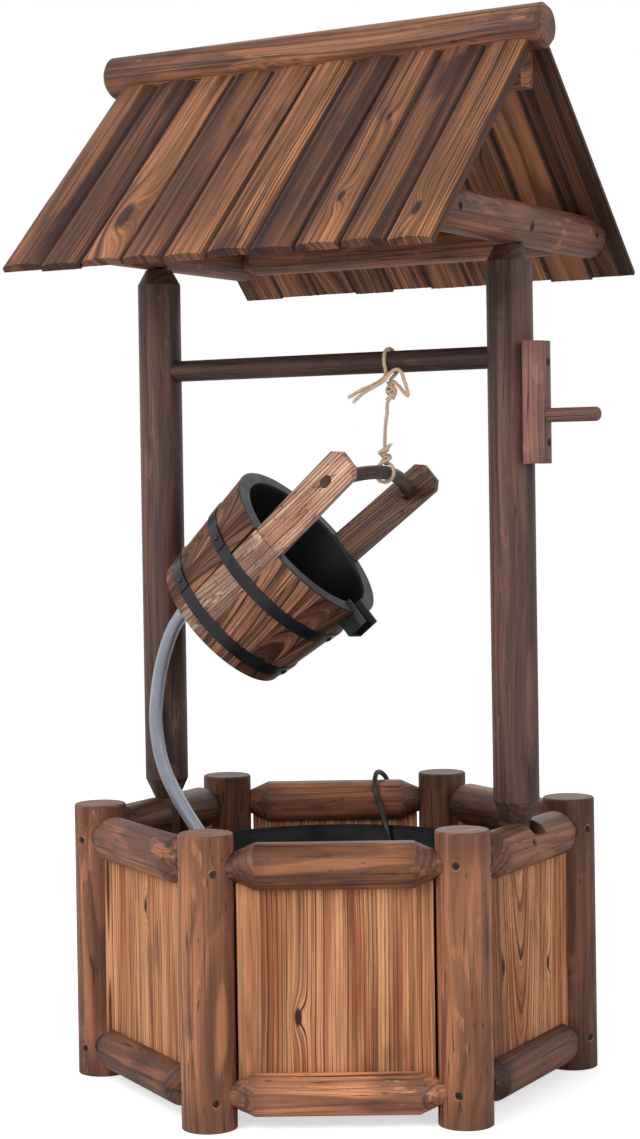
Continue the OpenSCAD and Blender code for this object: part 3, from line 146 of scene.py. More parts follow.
BOW_ROUTE = (
    (44, -17, 768), (54, -18, 775), (65, -18.5, 780.5), (76, -19, 785.5), (84, -19, 790),
    (90, -18, 797), (98, -17, 801.5), (104.5, -17, 798), (108, -17, 788.5), (111, -16, 778),
    (110.5, -14, 772), (105.5, -12.5, 775), (100, -12, 781), (94.5, -11.5, 786),
    (90, -9.5, 788.5), (85.6, -6.7, 787.2),
)

# The routes of the rope were laid with the bucket's mouth at this X; the rope follows it
ROPE_BUCKET_X = -39.47
ROPE_ROUTE = [(x + BUCKET_X - ROPE_BUCKET_X, y, z) for x, y, z in ROPE_ROUTE]
BOW_ROUTE = [(x + BUCKET_X - ROPE_BUCKET_X, y, z) for x, y, z in BOW_ROUTE]

# Pose of the camera, worked out from the photograph's perspective
CAMERA_AZIMUTH = math.radians(30.231)
CAMERA_DISTANCE = 2.5984
CAMERA_HEIGHT = 0.6804
CAMERA_YAW = math.radians(0.247)
CAMERA_PITCH = math.radians(-0.929)
CAMERA_ROLL = math.radians(-0.877)
CAMERA_FOCAL_PX = 2257.1
CAMERA_SHIFT_PX = -54.4
PHOTO_HEIGHT_PX = 1139
SENSOR = 36.0


def srgb(red, green, blue):
    """Linear colour of an 8-bit display colour."""

    def linear(value):
        """One channel, from 0 to 1."""
        value = value / 255
        return value / 12.92 if value <= 0.04045 else ((value + 0.055) / 1.055) ** 2.4

    return (linear(red), linear(green), linear(blue))


def colour_property(name, description, *display):
    """A colour that a user may change, given by its display values."""
    return FloatVectorProperty(
        name=name, description=description, subtype="COLOR", size=3, min=0, max=1,
        default=srgb(*display),
    )


# ---------------------------------------------------------------- settings


class FOUNTAIN_PG_wood(bpy.types.PropertyGroup):
    """Colours of the burnt and brushed wood."""

    log_light: colour_property("Log light", "Pale parts of the turned logs", 176, 116, 82)
    log_mid: colour_property("Log mid", "Usual colour of the turned logs", 130, 84, 61)
    log_dark: colour_property("Log dark", "Growth lines of the turned logs", 66, 42, 35)
    log_burn: colour_property("Log burn", "Scorched patches of the turned logs", 55, 38, 35)
    upright_light: colour_property("Upright light", "Pale parts of the uprights", 124, 86, 74)
    upright_mid: colour_property("Upright mid", "Usual colour of the uprights", 88, 65, 60)
    upright_dark: colour_property("Upright dark", "Growth lines of the uprights", 48, 37, 38)
    board_light: colour_property("Board light", "Pale boards of the roof", 200, 136, 96)
    board_mid: colour_property("Board mid", "Dark boards of the roof", 84, 58, 49)
    board_dark: colour_property("Board dark", "Growth lines of the roof boards", 34, 25, 26)
    panel_light: colour_property("Panel light", "Pale wood of the panels", 230, 164, 118)
    panel_mid: colour_property("Panel mid", "Usual colour of the panels", 182, 112, 74)
    panel_dark: colour_property("Panel dark", "Growth lines of the panels", 74, 44, 33)
    stave_light: colour_property("Stave light", "Pale wood of the bucket", 198, 140, 108)
    stave_mid: colour_property("Stave mid", "Usual colour of the bucket", 134, 90, 68)
    stave_dark: colour_property("Stave dark", "Growth lines of the bucket", 46, 31, 27)
    handle_light: colour_property("Handle light", "Pale wood of the front handle", 246, 198, 168)
    handle_mid: colour_property("Handle mid", "Usual colour of the front handle", 190, 136, 108)


class FOUNTAIN_PG_trim(bpy.types.PropertyGroup):
    """Colours and sizes of the plastic, metal, jute and hose."""

    plastic: colour_property("Plastic", "Liner, basin and pump", 27, 27, 31)
    band: colour_property("Bands", "Painted steel bands", 38, 38, 42)
    screw: colour_property("Screws", "Dark screws", 70, 62, 56)
    raw_wood: colour_property("Raw wood", "Torn wood round the screw holes", 196, 150, 112)
    jute: colour_property("Jute", "Rope", 250, 220, 186)
    hose: colour_property("Hose", "Clear wall of the hose", 250, 252, 255)
    hose_bore: colour_property("Hose bore", "Milky inside of the hose", 176, 180, 194)
    lead: colour_property("Lead", "Mains lead", 26, 26, 28)
    board_relief: FloatProperty(
        name="Board relief", description="Depth of the brushed grain on the roof",
        default=0.0005, min=0, max=0.001, unit="LENGTH",
    )
    panel_relief: FloatProperty(
        name="Panel relief", description="Depth of the brushed grain on the panels",
        default=0.0005, min=0, max=0.001, unit="LENGTH",
    )
    rope_lay: FloatProperty(
        name="Rope lay", description="Length of one turn of the rope's strands",
        default=0.009, min=0.004, max=0.03, unit="LENGTH",
    )
    rope_strands: IntProperty(
        name="Rope strands", description="Strands that the rope is laid from",
        default=3, min=2, max=5,
    )


class FOUNTAIN_PG_stage(bpy.types.PropertyGroup):
    """Floor, lamps and background."""

    floor: FloatProperty(
        name="Floor", description="Brightness of the floor", default=0.86, min=0, max=1,
    )
    key: FloatProperty(
        name="Key lamp", description="Power of the large soft lamp", default=52, min=0,
        unit="POWER",
    )
    fill: FloatProperty(
        name="Fill lamp", description="Power of the fill lamp", default=18, min=0, unit="POWER",
    )
    ambient: FloatProperty(
        name="Ambient", description="Light from all round", default=0.42, min=0, max=2,
    )


def wood_settings():
    """Colours of the wood."""
    return bpy.context.scene.fountain_wood


def trim_settings():
    """Colours and sizes of the trim."""
    return bpy.context.scene.fountain_trim


# ------------------------------------------------------------------- nodes


class Value:
    """An output of a node, which can be used in sums."""

    def __init__(self, graph, socket):
        self.graph, self.socket = graph, socket

    def __add__(self, other):
        return self.graph.math("ADD", self, other)

    def __sub__(self, other):
        return self.graph.math("SUBTRACT", self, other)

    def __rsub__(self, other):
        return self.graph.math("SUBTRACT", other, self)

    def __mul__(self, other):
        return self.graph.math("MULTIPLY", self, other)

    def __truediv__(self, other):
        return self.graph.math("DIVIDE", self, other)

    def __abs__(self):
        return self.graph.math("ABSOLUTE", self)

    def times(self, factor, added):
        """The value times a factor, plus another value."""
        return self.graph.math("MULTIPLY_ADD", self, factor, added)

    def below(self, limit):
        """1 where the value is less than a limit, else 0."""
        return self.graph.math("LESS_THAN", self, limit)

    def above(self, limit):
        """1 where the value is greater than a limit, else 0."""
        return self.graph.math("GREATER_THAN", self, limit)


class Graph:
    """Adds nodes to a material's or a geometry tree and links them."""

    def __init__(self, tree):
        self.tree = tree

    def node(self, kind, inputs=None, **settings):
        """A node, with its settings and inputs; an input is a value or another's output."""
        made = self.tree.nodes.new(kind)
        for key, value in settings.items():
            setattr(made, key, value)
        for key, value in (inputs or {}).items():
            self.give(made.inputs[key], value)
        return made

    def give(self, socket, value):
        """Links a socket to an output, or sets it to a plain value."""
        if isinstance(value, Value):
            self.tree.links.new(value.socket, socket)
        else:
            socket.default_value = value

    def out(self, output, kind, inputs=None, **settings):
        """One output of a new node, by its number or name."""
        return Value(self, self.node(kind, inputs, **settings).outputs[output])

    def attribute(self, name, output="Vector"):
        """Value of a mesh's named attribute."""
        return self.out(output, "ShaderNodeAttribute", attribute_name=name)

    def math(self, operation, first, second=0.0, third=0.0, clamp=False):
        """A number worked out from up to three."""
        inputs = {0: first, 1: second, 2: third}
        return self.out(0, "ShaderNodeMath", inputs, operation=operation, use_clamp=clamp)

    def vector(self, operation, first, second=(0.0, 0.0, 0.0)):
        """A vector worked out from two, or a length."""
        output = 1 if operation == "LENGTH" else 0
        return self.out(output, "ShaderNodeVectorMath", {0: first, 1: second}, operation=operation)

    def scaled(self, vector, factor):
        """A vector times a number."""
        inputs = {0: vector, "Scale": factor}
        return self.out(0, "ShaderNodeVectorMath", inputs, operation="SCALE")

    def split(self, vector):
        """The three numbers of a vector."""
        made = self.node("ShaderNodeSeparateXYZ", {0: vector})
        return [Value(self, socket) for socket in made.outputs]

    def join(self, x, y, z):
        """A vector of three numbers."""
        return self.out(0, "ShaderNodeCombineXYZ", {0: x, 1: y, 2: z})

    def step(self, value, low, high, to_low=0.0, to_high=1.0):
        """A smooth step from low to high."""
        inputs = {0: value, 1: low, 2: high, 3: to_low, 4: to_high}
        return self.out(0, "ShaderNodeMapRange", inputs, interpolation_type="SMOOTHSTEP")

    def noise(self, place, often, detail=2.0, roughness=0.5, output=0):
        """Noise from 0 to 1; often is the number of changes a millimetre on each axis."""
        inputs = {
            "Vector": self.vector("MULTIPLY", place, often), "Scale": 1.0,
            "Detail": detail, "Roughness": roughness,
        }
        return self.out(output, "ShaderNodeTexNoise", inputs)

    def chance(self, number, output="Color"):
        """Random values that belong to a whole number."""
        return self.out(output, "ShaderNodeTexWhiteNoise", {"W": number}, noise_dimensions="1D")

    def mix(self, factor, first, second):
        """A colour between two."""
        inputs = {0: factor, 6: four(first), 7: four(second)}
        return self.out(2, "ShaderNodeMix", inputs, data_type="RGBA")

    def bump(self, height, strength, distance):
        """A normal that shows the height as relief; the distance is in metres."""
        inputs = {"Height": height, "Strength": strength, "Distance": distance}
        return self.out(0, "ShaderNodeBump", inputs)


def four(colour):
    """A colour with alpha, or an output as it is."""
    return colour if isinstance(colour, Value) else (*colour[:3], 1.0)


def new_material(name):
    """An empty material: its graph and its shader node."""
    material = bpy.data.materials.new(name)
    material.use_nodes = True
    tree = material.node_tree
    tree.nodes.clear()
    graph = Graph(tree)
    shader = graph.node("ShaderNodeBsdfPrincipled")
    output = graph.node("ShaderNodeOutputMaterial")
    tree.links.new(shader.outputs[0], output.inputs[0])
    return material, graph, shader


def connect(graph, shader, **inputs):
    """Sets or links inputs of a shader, with underscores for spaces."""
    for key, value in inputs.items():
        socket = shader.inputs[key.replace("_", " ")]
        graph.give(socket, four(value) if socket.type == "RGBA" else value)


def object_place(graph, matrix):
    """The shading point in a piece's own frame, in millimetres."""
    inputs = {
        "Vector": graph.out("Object", "ShaderNodeTexCoord"),
        "Location": matrix.to_translation(),
        "Rotation": matrix.to_euler("XYZ"),
        "Scale": (MM, MM, MM),
    }
    return graph.out(0, "ShaderNodeMapping", inputs, vector_type="TEXTURE")


# Patterns of the wood: changes a millimetre across, in depth and along the grain, detail and
# roughness. The first ones follow the growth lines.
LAYER_PATTERNS = {
    "streak": ((0.21, 0.0, 0.0035), 2.0, 0.6),
    "band": ((0.075, 0.0, 0.0012), 1.0),
    "fine": ((0.75, 0.0, 0.006), 1.0),
}
PLACE_PATTERNS = {
    "wear": ((0.045, 0.045, 0.017), 3.0, 0.6),
    "fibre": ((1.1, 1.1, 0.022), 3.0, 0.65),
    "tone": ((0.045, 0.045, 0.0035), 2.0),
    "scorch": ((0.02, 0.02, 0.0065), 3.0, 0.55),
    "speck": ((0.2, 0.2, 0.05), 1.0),
}
SLOW_BEND = ((0.006, 0.006, 0.0021), 1.5)
RIPPLE = ((0.035, 0.035, 0.006), 2.0)
CRACKS = ((0.085, 0.085, 0.0016), 2.0, 0.6)
CRACK_EDGE = (0.014, 0.002)
# Where in a year's ring the dark wood ends, and how dark its lines are in the palest year
RING_END = (1.0, 0.93)
FAINTEST_YEAR = 0.3
# Knots: width against length, how far they push the growth lines aside, how soon that ends
KNOT_SLIMNESS, KNOT_BULGE, KNOT_FALL = 0.4, 1.6, -0.35
KNOT_HEART = (1.0, 0.45)
OTHER_PIECE = 50.0


def grain(graph, place, ring=3.2, wander=12.0, wobble=1.2, knots=(), face=None, index=None,
          late_wood=(0.42, 0.84)):
    """Growth lines and fibres of wood. place is the point in millimetres from the pith, with Z
    along the grain. A knot is (number of its piece, x, z, size) in the frame of face. late_wood
    is the part of a year's ring in which the wood turns dark."""
    slow = graph.split(graph.noise(place, *SLOW_BEND, output=1))
    spot = graph.split(place)
    x = (slow[0] - 0.5).times(wander, spot[0])
    y = (slow[1] - 0.5).times(wander, spot[1])
    radius = graph.vector("LENGTH", graph.join(x, y, 0.0))
    ripple = graph.noise(place, *RIPPLE)
    radius = (ripple - 0.5).times(wobble * 2, radius)
    core = None
    for piece, at_x, at_z, size in knots:
        away = graph.vector("SUBTRACT", face, (at_x, 0.0, at_z))
        away = graph.vector("MULTIPLY", away, (1 / size, 0.0, KNOT_SLIMNESS / size))
        # Far away from every other piece
        away = abs(index - piece).times(OTHER_PIECE, graph.vector("LENGTH", away))
        bulge = graph.math("EXPONENT", away * away * KNOT_FALL)
        radius = bulge.times(size * KNOT_BULGE, radius)
        heart = graph.step(away, *KNOT_HEART)
        core = heart if core is None else graph.math("MAXIMUM", core, heart)
    years = radius / ring
    part = graph.math("FRACT", years)
    luck = graph.chance(graph.math("FLOOR", years), "Value")
    late = graph.step(part, *late_wood) * graph.step(part, *RING_END)
    late = late * graph.step(luck, 0.0, 1.0, FAINTEST_YEAR, 1.0)
    if core is not None:
        late = graph.math("MAXIMUM", late, core)
    layer = graph.join(radius, 0.0, spot[2])
    crack = abs(graph.noise(place, *CRACKS) - 0.5)
    lines = {"late": late, "core": core, "crack": graph.step(crack, *CRACK_EDGE)}
    for where, patterns in ((layer, LAYER_PATTERNS), (place, PLACE_PATTERNS)):
        for name, pattern in patterns.items():
            lines[name] = graph.noise(where, *pattern)
    return lines


def shaded(colour, amount):
    """A colour made lighter or darker."""
    return tuple(min(1.0, part * amount) for part in colour[:3])


# Value of a pattern at which it begins to show, and at which it is full
SHOWN_FROM = {
    "tone": (0.36, 0.62), "band": (0.5, 0.6), "fine": (0.47, 0.62), "fibre": (0.48, 0.74),
    "speck": (0.71, 0.75), "wear": (0.6, 0.67),
}
SCORCH_EDGE = 0.17
FIBRES = 0.42
CORE_DARK = 0.85


def wood_finish(graph, shader, lines, light, mid, dark, burn, contrast=0.6, scorch=0.5,
                scorch_from=0.52, ends=(), gloss=0.52, streaks=0.5, specks=0.0, bands=0.0,
                fines=0.35, cracks=0.0, wear=0.0, shine=0.18):
    """Colour, roughness and bump of burnt, brushed wood. The amounts run from 0 to 1; ends lists
    what is darkened with the scorch colour besides the scorched patches: charring, and on the
    panels and roof boards also painted shade; gloss is the usual roughness."""

    def shown(pattern, amount):
        """How much a pattern shows."""
        return graph.step(lines[pattern], *SHOWN_FROM[pattern], 0.0, amount)

    pale = (lines["streak"] - 0.5).times(streaks, lines["tone"])
    colour = graph.mix(graph.step(pale, *SHOWN_FROM["tone"]), mid, light)
    for pattern, amount in (("band", bands), ("fine", fines), ("fibre", FIBRES)):
        if amount:
            colour = graph.mix(shown(pattern, amount), colour, dark)
    colour = graph.mix(lines["late"] * contrast, colour, dark)
    # Scorched patches and the ends: charring, and on the panels and roof boards also painted shade
    char_and_shade = graph.step(lines["scorch"], scorch_from, scorch_from + SCORCH_EDGE)
    for part in ends:
        char_and_shade = graph.math("ADD", char_and_shade, part, clamp=True)
    colour = graph.mix(char_and_shade * scorch, colour, burn)
    if specks:
        colour = graph.mix(shown("speck", specks), colour, burn)
    if wear:
        worn = shown("wear", wear) * graph.step(lines["fibre"], 0.62, 0.4)
        colour = graph.mix(worn, colour, shaded(light, 1.35))
    if cracks:
        colour = graph.mix(lines["crack"] * cracks, colour, shaded(burn, 0.5))
    if lines["core"] is not None:
        colour = graph.mix(lines["core"] * CORE_DARK, colour, burn)
    rough = graph.step(lines["fibre"], 0.2, 0.8, gloss + 0.16, gloss - 0.06)
    height = lines["late"].times(0.55, lines["fibre"] * 0.5)
    connect(graph, shader, Base_Color=colour, Roughness=rough, Specular_IOR_Level=shine,
            Normal=graph.bump(height, 0.55, 0.0005))


def log_frame(point, direction):
    """Frame of a log: Z along it, from a point on its axis in millimetres."""
    rotation = Vector(direction).to_track_quat("Z", "Y").to_matrix().to_4x4()
    return Matrix.Translation(Vector(point) * MM) @ rotation


# What sets the turned logs apart from the boards
LOG_FINISH = {"specks": 0.6, "cracks": 0.75, "wear": 0.6, "gloss": 0.42, "shine": 0.3}


def log_material(name, matrix, palette, seed, half=None, shade=1.0, pith=6.0, stained=None,
                 **finish):
    """Wood of one turned log, whose growth lines run round its own pith. It turns dark towards
    its ends, half its length away, or between the two heights of stained."""
    chance = random.Random(seed)
    material, graph, shader = new_material(name)
    spot = object_place(graph, matrix)
    angle = chance.uniform(0, TURN)
    offset = (pith * math.cos(angle), pith * math.sin(angle), chance.uniform(-900, 900))
    place = graph.vector("ADD", spot, offset)
    lines = grain(graph, place, ring=finish.pop("ring", 3.4), wander=finish.pop("wander", 16.0))
    along = graph.split(spot)[2]
    ends = []
    if half:
        uneven = lines["tone"].times(half * 0.25, abs(along))
        ends.append(graph.step(uneven, half * 0.78, half * 1.12, 0.0, 0.62))
    if stained:
        ends.append(graph.step(lines["tone"].times(30.0, along), *stained, 0.0, 0.85))
    colours = [shaded(part, shade) for part in palette]
    wood_finish(graph, shader, lines, *colours, ends=ends, **{**LOG_FINISH, **finish})
    return material


def dress(node, material):
    """Gives a CAD node its material."""
    for slot in NODES[node].material_slots:
        slot.material = material


# ------------------------------------------------------------------ meshes


def linked(name, data):
    """A new object in the scene."""
    made = bpy.data.objects.new(name, data)
    bpy.context.scene.collection.objects.link(made)
    return made


class Shape:
    """Points and faces that grow into a mesh."""

    def __init__(self):
        self.points, self.faces = [], []

    def add(self, points, faces):
        """Adds points, and faces that count from the first of them."""
        first = len(self.points)
        self.points += points
        self.faces += [tuple(first + i for i in face) for face in faces]


def between_rings(rings, count, closed=False):
    """Faces between rings of points that follow each other; closed joins last and first."""
    faces = []
    for i in range(rings if closed else rings - 1):
        here, there = i * count, (i + 1) % rings * count
        for j in range(count):
            k = (j + 1) % count
            faces.append((here + j, here + k, there + k, there + j))
    return faces


def circle(radius, count, z):
    """Points of a circle round Z."""
    turns = [TURN * j / count for j in range(count)]
    return [(radius * math.cos(a), radius * math.sin(a), z) for a in turns]


def mesh_object(name, points, faces, material, smooth=True):
    """A mesh piece from points in millimetres."""
    mesh = bpy.data.meshes.new(name)
    mesh.from_pydata([Vector(p) * MM for p in points], [], faces)
    mesh.materials.append(material)
    mesh.polygons.foreach_set("use_smooth", [smooth] * len(mesh.polygons))
    mesh.update()
    return linked(name, mesh)


def smooth_route(points, step):
    """Points along a smooth curve through the given ones, about one step apart."""
    points = [Vector(p) for p in points]
    last = len(points) - 1
    found = []
    for i in range(last):
        a, b = points[max(i - 1, 0)], points[i]
        c, d = points[i + 1], points[min(i + 2, last)]
        count = max(1, round((c - b).length / step))
        for j in range(count):
            t = j / count
            found.append(0.5 * (2 * b + (c - a) * t + (2 * a - 5 * b + 4 * c - d) * t**2
                                + (3 * b - a - 3 * c + d) * t**3))
    return found + [points[last]]


def route_frames(route):
    """Tangent and two side vectors at each point, carried along without twist."""
    frames = []
    # Any way but that of a route's first step
    side = Vector((0, 0.3, 1))
    for i, _ in enumerate(route):
        tangent = (route[min(i + 1, len(route) - 1)] - route[max(i - 1, 0)]).normalized()
        side = (side - side.dot(tangent) * tangent).normalized()
        frames.append((tangent, side, tangent.cross(side)))
    return frames


def tube_mesh(route, radii, sides, closed=True):
    """Points and faces of a tube; radii holds one radius for each point of the route."""
    points = []
    for at, (_, u, w), radius in zip(route, route_frames(route), radii):
        for j in range(sides):
            a = TURN * j / sides
            points.append(at + radius * (math.cos(a) * u + math.sin(a) * w))
    faces = between_rings(len(route), sides)
    if closed:
        end = (len(route) - 1) * sides
        faces.append(tuple(reversed(range(sides))))
        faces.append(tuple(range(end, end + sides)))
    return points, faces


def cord_length(route):
    """Length of a cord's route in metres, to the millimetre."""
    return round(sum((b - a).length for a, b in zip(route, route[1:])) * MM, 3)


def in_metres(route):
    """A route's points in metres, as plain tuples."""
    return [tuple(p * MM) for p in route]


def at_bucket(x, y, z):
    """A point of the bucket's own frame in the fountain's frame, in millimetres."""
    return (BUCKET @ (Vector((x, y, z)) * MM)) / MM


# ---------------------------------------------------------- geometry nodes


class Tree(Graph):
    """A geometry tree with named sizes, and with an input for a mesh where it needs one."""

    def __init__(self, name, sizes, source=None):
        super().__init__(bpy.data.node_groups.new(name, "GeometryNodeTree"))
        face = self.tree.interface
        face.new_socket(name="Geometry", in_out="OUTPUT", socket_type="NodeSocketGeometry")
        if source:
            face.new_socket(name=source, in_out="INPUT", socket_type="NodeSocketGeometry")
        self.sizes = sizes
        self.names = {}
        for key in sizes:
            made = face.new_socket(name=key, in_out="INPUT", socket_type="NodeSocketFloat")
            self.names[key] = made.identifier
        given = self.node("NodeGroupInput").outputs
        self.given = {socket.name: Value(self, socket) for socket in given}

    def grow(self, kind, inputs=None, **settings):
        """First output of a new geometry node."""
        return self.out(0, f"GeometryNode{kind}", inputs, **settings)

    def result(self, geometry, material):
        """Ends the tree with real meshes in their material."""
        geometry = self.grow("RealizeInstances", {0: geometry})
        geometry = self.grow("SetMaterial", {"Geometry": geometry, "Material": material})
        self.node("NodeGroupOutput", {0: geometry})

    def piece(self, name):
        """A plain mesh object that the tree makes."""
        return self.run(linked(name, bpy.data.meshes.new(name)), name)

    def run(self, piece, name):
        """Puts the tree on an object and turns the result into a plain mesh."""
        modifier = piece.modifiers.new("Geometry", "NODES")
        modifier.node_group = self.tree
        for key, value in self.sizes.items():
            modifier[self.names[key]] = float(value)
        bpy.context.view_layer.update()
        graph = bpy.context.evaluated_depsgraph_get()
        mesh = bpy.data.meshes.new_from_object(piece.evaluated_get(graph))
        piece.modifiers.remove(modifier)
        piece.data = mesh
        mesh.name = name
        return piece

    def stored(self, geometry, name, value, kind="FLOAT_VECTOR", domain="POINT"):
        """Geometry with a named attribute."""
        inputs = {"Geometry": geometry, "Name": name, "Value": value}
        return self.grow("StoreNamedAttribute", inputs, data_type=kind, domain=domain)

    def attribute(self, name, kind="FLOAT_VECTOR"):
        """Value of a named attribute."""
        return self.grow("InputNamedAttribute", {"Name": name}, data_type=kind)

    def copies(self, block, points, turn=0.0):
        """A block at each point, each turned further round Z than the last; also each copy's
        number and the place in the block, in millimetres."""
        number = self.grow("InputIndex")
        block = self.stored(block, "local", self.scaled(self.grow("InputPosition"), 1 / MM))
        made = self.grow("InstanceOnPoints", {
            "Points": points, "Instance": block, "Rotation": self.join(0.0, 0.0, number * turn)})
        made = self.stored(made, "board", number, "FLOAT", "INSTANCE")
        made = self.grow("RealizeInstances", {0: made})
        return made, self.attribute("board", "FLOAT"), self.split(self.attribute("local"))

    def crisp(self, geometry, angle):
        """Smooth shading with sharp edges at corners."""
        smooth = self.grow("SetShadeSmooth", {0: geometry}, domain="FACE")
        inputs = {0: self.grow("InputMeshEdgeAngle"), 1: angle}
        corner = self.out(0, "FunctionNodeCompare", inputs, operation="GREATER_THAN")
        inputs = {0: smooth, "Selection": corner, "Shade Smooth": False}
        return self.grow("SetShadeSmooth", inputs, domain="EDGE")


# -------------------------------------------------------------------- logs


def palettes():
    """Light, usual, line and scorch colours of each family of wood."""
    wood = wood_settings()
    return {
        family: [getattr(wood, f"{family}_{part}") for part in ("light", "mid", "dark")]
        + [wood.log_burn]
        for family in ("log", "upright", "stave", "board", "panel")
    }


def side_frame(k):
    """Angle, outward way and way along the rails of side k of the base."""
    angle = math.radians(-60 + SIDE_STEP * (k - 1))
    out = Vector((math.cos(angle), math.sin(angle), 0))
    along = Vector((-math.sin(angle), math.cos(angle), 0))
    return angle, out, along


# Brightness of the posts from the front one, and of the rails from the front right one: partly each
# log's own tone, partly painted light on the logs in front and painted shade on those behind or
# turned away from the lamps
POST_TONE_AND_LIGHT = (1.22, 1.14, 0.56, 0.62, 0.6, 1.0)
RAIL_TONE_AND_LIGHT = {
    "top": (0.88, 0.78, 0.72, 1.05, 0.42, 1.22),
    "bottom": (1.95, 0.48, 0.8, 0.8, 0.8, 0.72),
}
RAIL_SEEDS = {"top": 40, "bottom": 30}
# Middles of the logs, in millimetres
POST_MIDDLE_Z = 155
UPRIGHT_MIDDLE_Z = 600
PLATE_MIDDLE = (267, 0, 760)
PEG_MIDDLE = (300, 0, 745.5)
BATTEN_MIDDLE = (0, 0, BATTEN_TOP - 20)
ALONG_X, ALONG_Y, ALONG_Z = (1, 0, 0), (0, 1, 0), (0, 0, 1)


def stain(node, *placed, **finish):
    """Gives a log of the CAD frame a wood of its own."""
    dress(node, log_material(f"{node}_wood", *placed, **finish))


class FOUNTAIN_OT_base(bpy.types.Operator):
    """Stains the posts and rails of the base"""

    bl_idname = "fountain.base"
    bl_label = "Base logs"

    def execute(self, context):
        log = palettes()["log"]
        for k in range(1, 7):
            angle = math.radians(-90 + SIDE_STEP * (k - 1))
            foot = (POST_CIRCLE * math.cos(angle), POST_CIRCLE * math.sin(angle), POST_MIDDLE_Z)
            # Each post's and rail's brightness carries painted light and shade as well as its own
            # tone
            stain(f"post_{k}", log_frame(foot, ALONG_Z), log, 10 + k, half=150,
                  shade=POST_TONE_AND_LIGHT[k - 1], scorch=0.55, scorch_from=0.56)
            _, out, along = side_frame(k)
            for level, z in (("top", TOP_RAIL_Z), ("bottom", BOTTOM_RAIL_Z)):
                middle = out * RAIL_X + Vector((0, 0, z))
                stain(f"{level}_rail_{k}", log_frame(middle, along), log, RAIL_SEEDS[level] + k,
                      half=95, shade=RAIL_TONE_AND_LIGHT[level][k - 1], scorch=0.7, scorch_from=0.5, pith=9)
        return {"FINISHED"}


class FOUNTAIN_OT_uprights(bpy.types.Operator):
    """Stains the uprights, the rod, the crank and the roof's beams"""

    bl_idname = "fountain.uprights"
    bl_label = "Uprights and beams"

    def execute(self, context):
        wood = palettes()
        for side, x, seed in (("left", -1, 61), ("right", 1, 64)):
            stain(f"upright_{side}", log_frame((x * UPRIGHT_X, 0, UPRIGHT_MIDDLE_Z), ALONG_Z),
                  wood["upright"], seed, half=340, scorch=0.62, scorch_from=0.5, ring=4.2, pith=11)
        stain("windlass_rod", log_frame((0, 0, ROD_Z), ALONG_X), wood["upright"], 70, shade=0.62,
              scorch=0.5, contrast=0.35, pith=30)
        stain("crank_plate", log_frame(PLATE_MIDDLE, ALONG_Z), wood["upright"], 71, half=66,
              shade=1.75, pith=18, ring=2.6, contrast=0.4, scorch=0.35)
        stain("crank_peg", log_frame(PEG_MIDDLE, ALONG_X), wood["upright"], 72, shade=1.35,
              pith=12, ring=2.2, contrast=0.85)
        for side, x, seed in (("left", -1, 73), ("right", 1, 74)):
            stain(f"tie_beam_{side}", log_frame((x * TIE_X, 0, TIE_Z), ALONG_Y), wood["log"], seed,
                  half=195, shade=0.84, scorch=0.75, pith=10, wear=0.8)
        for side, y, seed in (("front", -1, 75), ("rear", 1, 76)):
            stain(f"purlin_{side}", log_frame((0, y * PURLIN_Y, TIE_Z), ALONG_X), wood["log"], seed,
                  half=205, pith=14)
        stain("ridge_log", log_frame((-RIDGE_SHIFT, 0, RIDGE_Z), ALONG_X), wood["log"], 82,
              half=275, shade=0.9, ring=5.0, pith=17, wander=26, scorch=0.6, scorch_from=0.56,
              contrast=0.75)
        stain("ridge_batten", log_frame(BATTEN_MIDDLE, ALONG_X), wood["board"], 78,
              shade=0.7, pith=40)
        return {"FINISHED"}


# ------------------------------------------------------------------- panels

# Knots of the panels: panel counted from the right side, across, height and size
PANEL_KNOTS = (
    (5, -40.0, -38.0, 5.0),
    (4, 6.0, 60.0, 4.0),
    (0, -62.0, -3.0, 4.5),
    (0, 51.0, -20.0, 4.0),
    (2, 30.0, 20.0, 4.0),
    (3, -50.0, -30.0, 4.5),
)
# Growth lines of the panels, which are thin
PANEL_GRAIN = {"ring": 4.2, "wander": 8.0, "wobble": 1.6, "knots": PANEL_KNOTS,
               "late_wood": (0.62, 0.86)}
PANEL_SIZES = {"Width": 0.207, "Height": 0.2079, "Thickness": 0.009, "Radius": RAIL_X * MM,
               "Bottom": 0.0506}
# Distance of the pith, and how far the boards are taken apart along the grain
PANEL_PITH = 95.0
GRAIN_SPREAD = 3000.0
# The notch for an upright's foot: half its width in millimetres, and its floor in metres
FOOT_HALF = 15.6
PANEL_LOW_TOP = 0.2498
# Distances from a panel's middle between which painted shade darkens it towards the rails, and how
# dark
PANEL_RAIL_SHADE = (84, 112, 0.0, 0.55)
# How strongly the right and the front panel are burnt, each on one side
BURNT_RIGHT, BURNT_FRONT = 1.7, 0.3


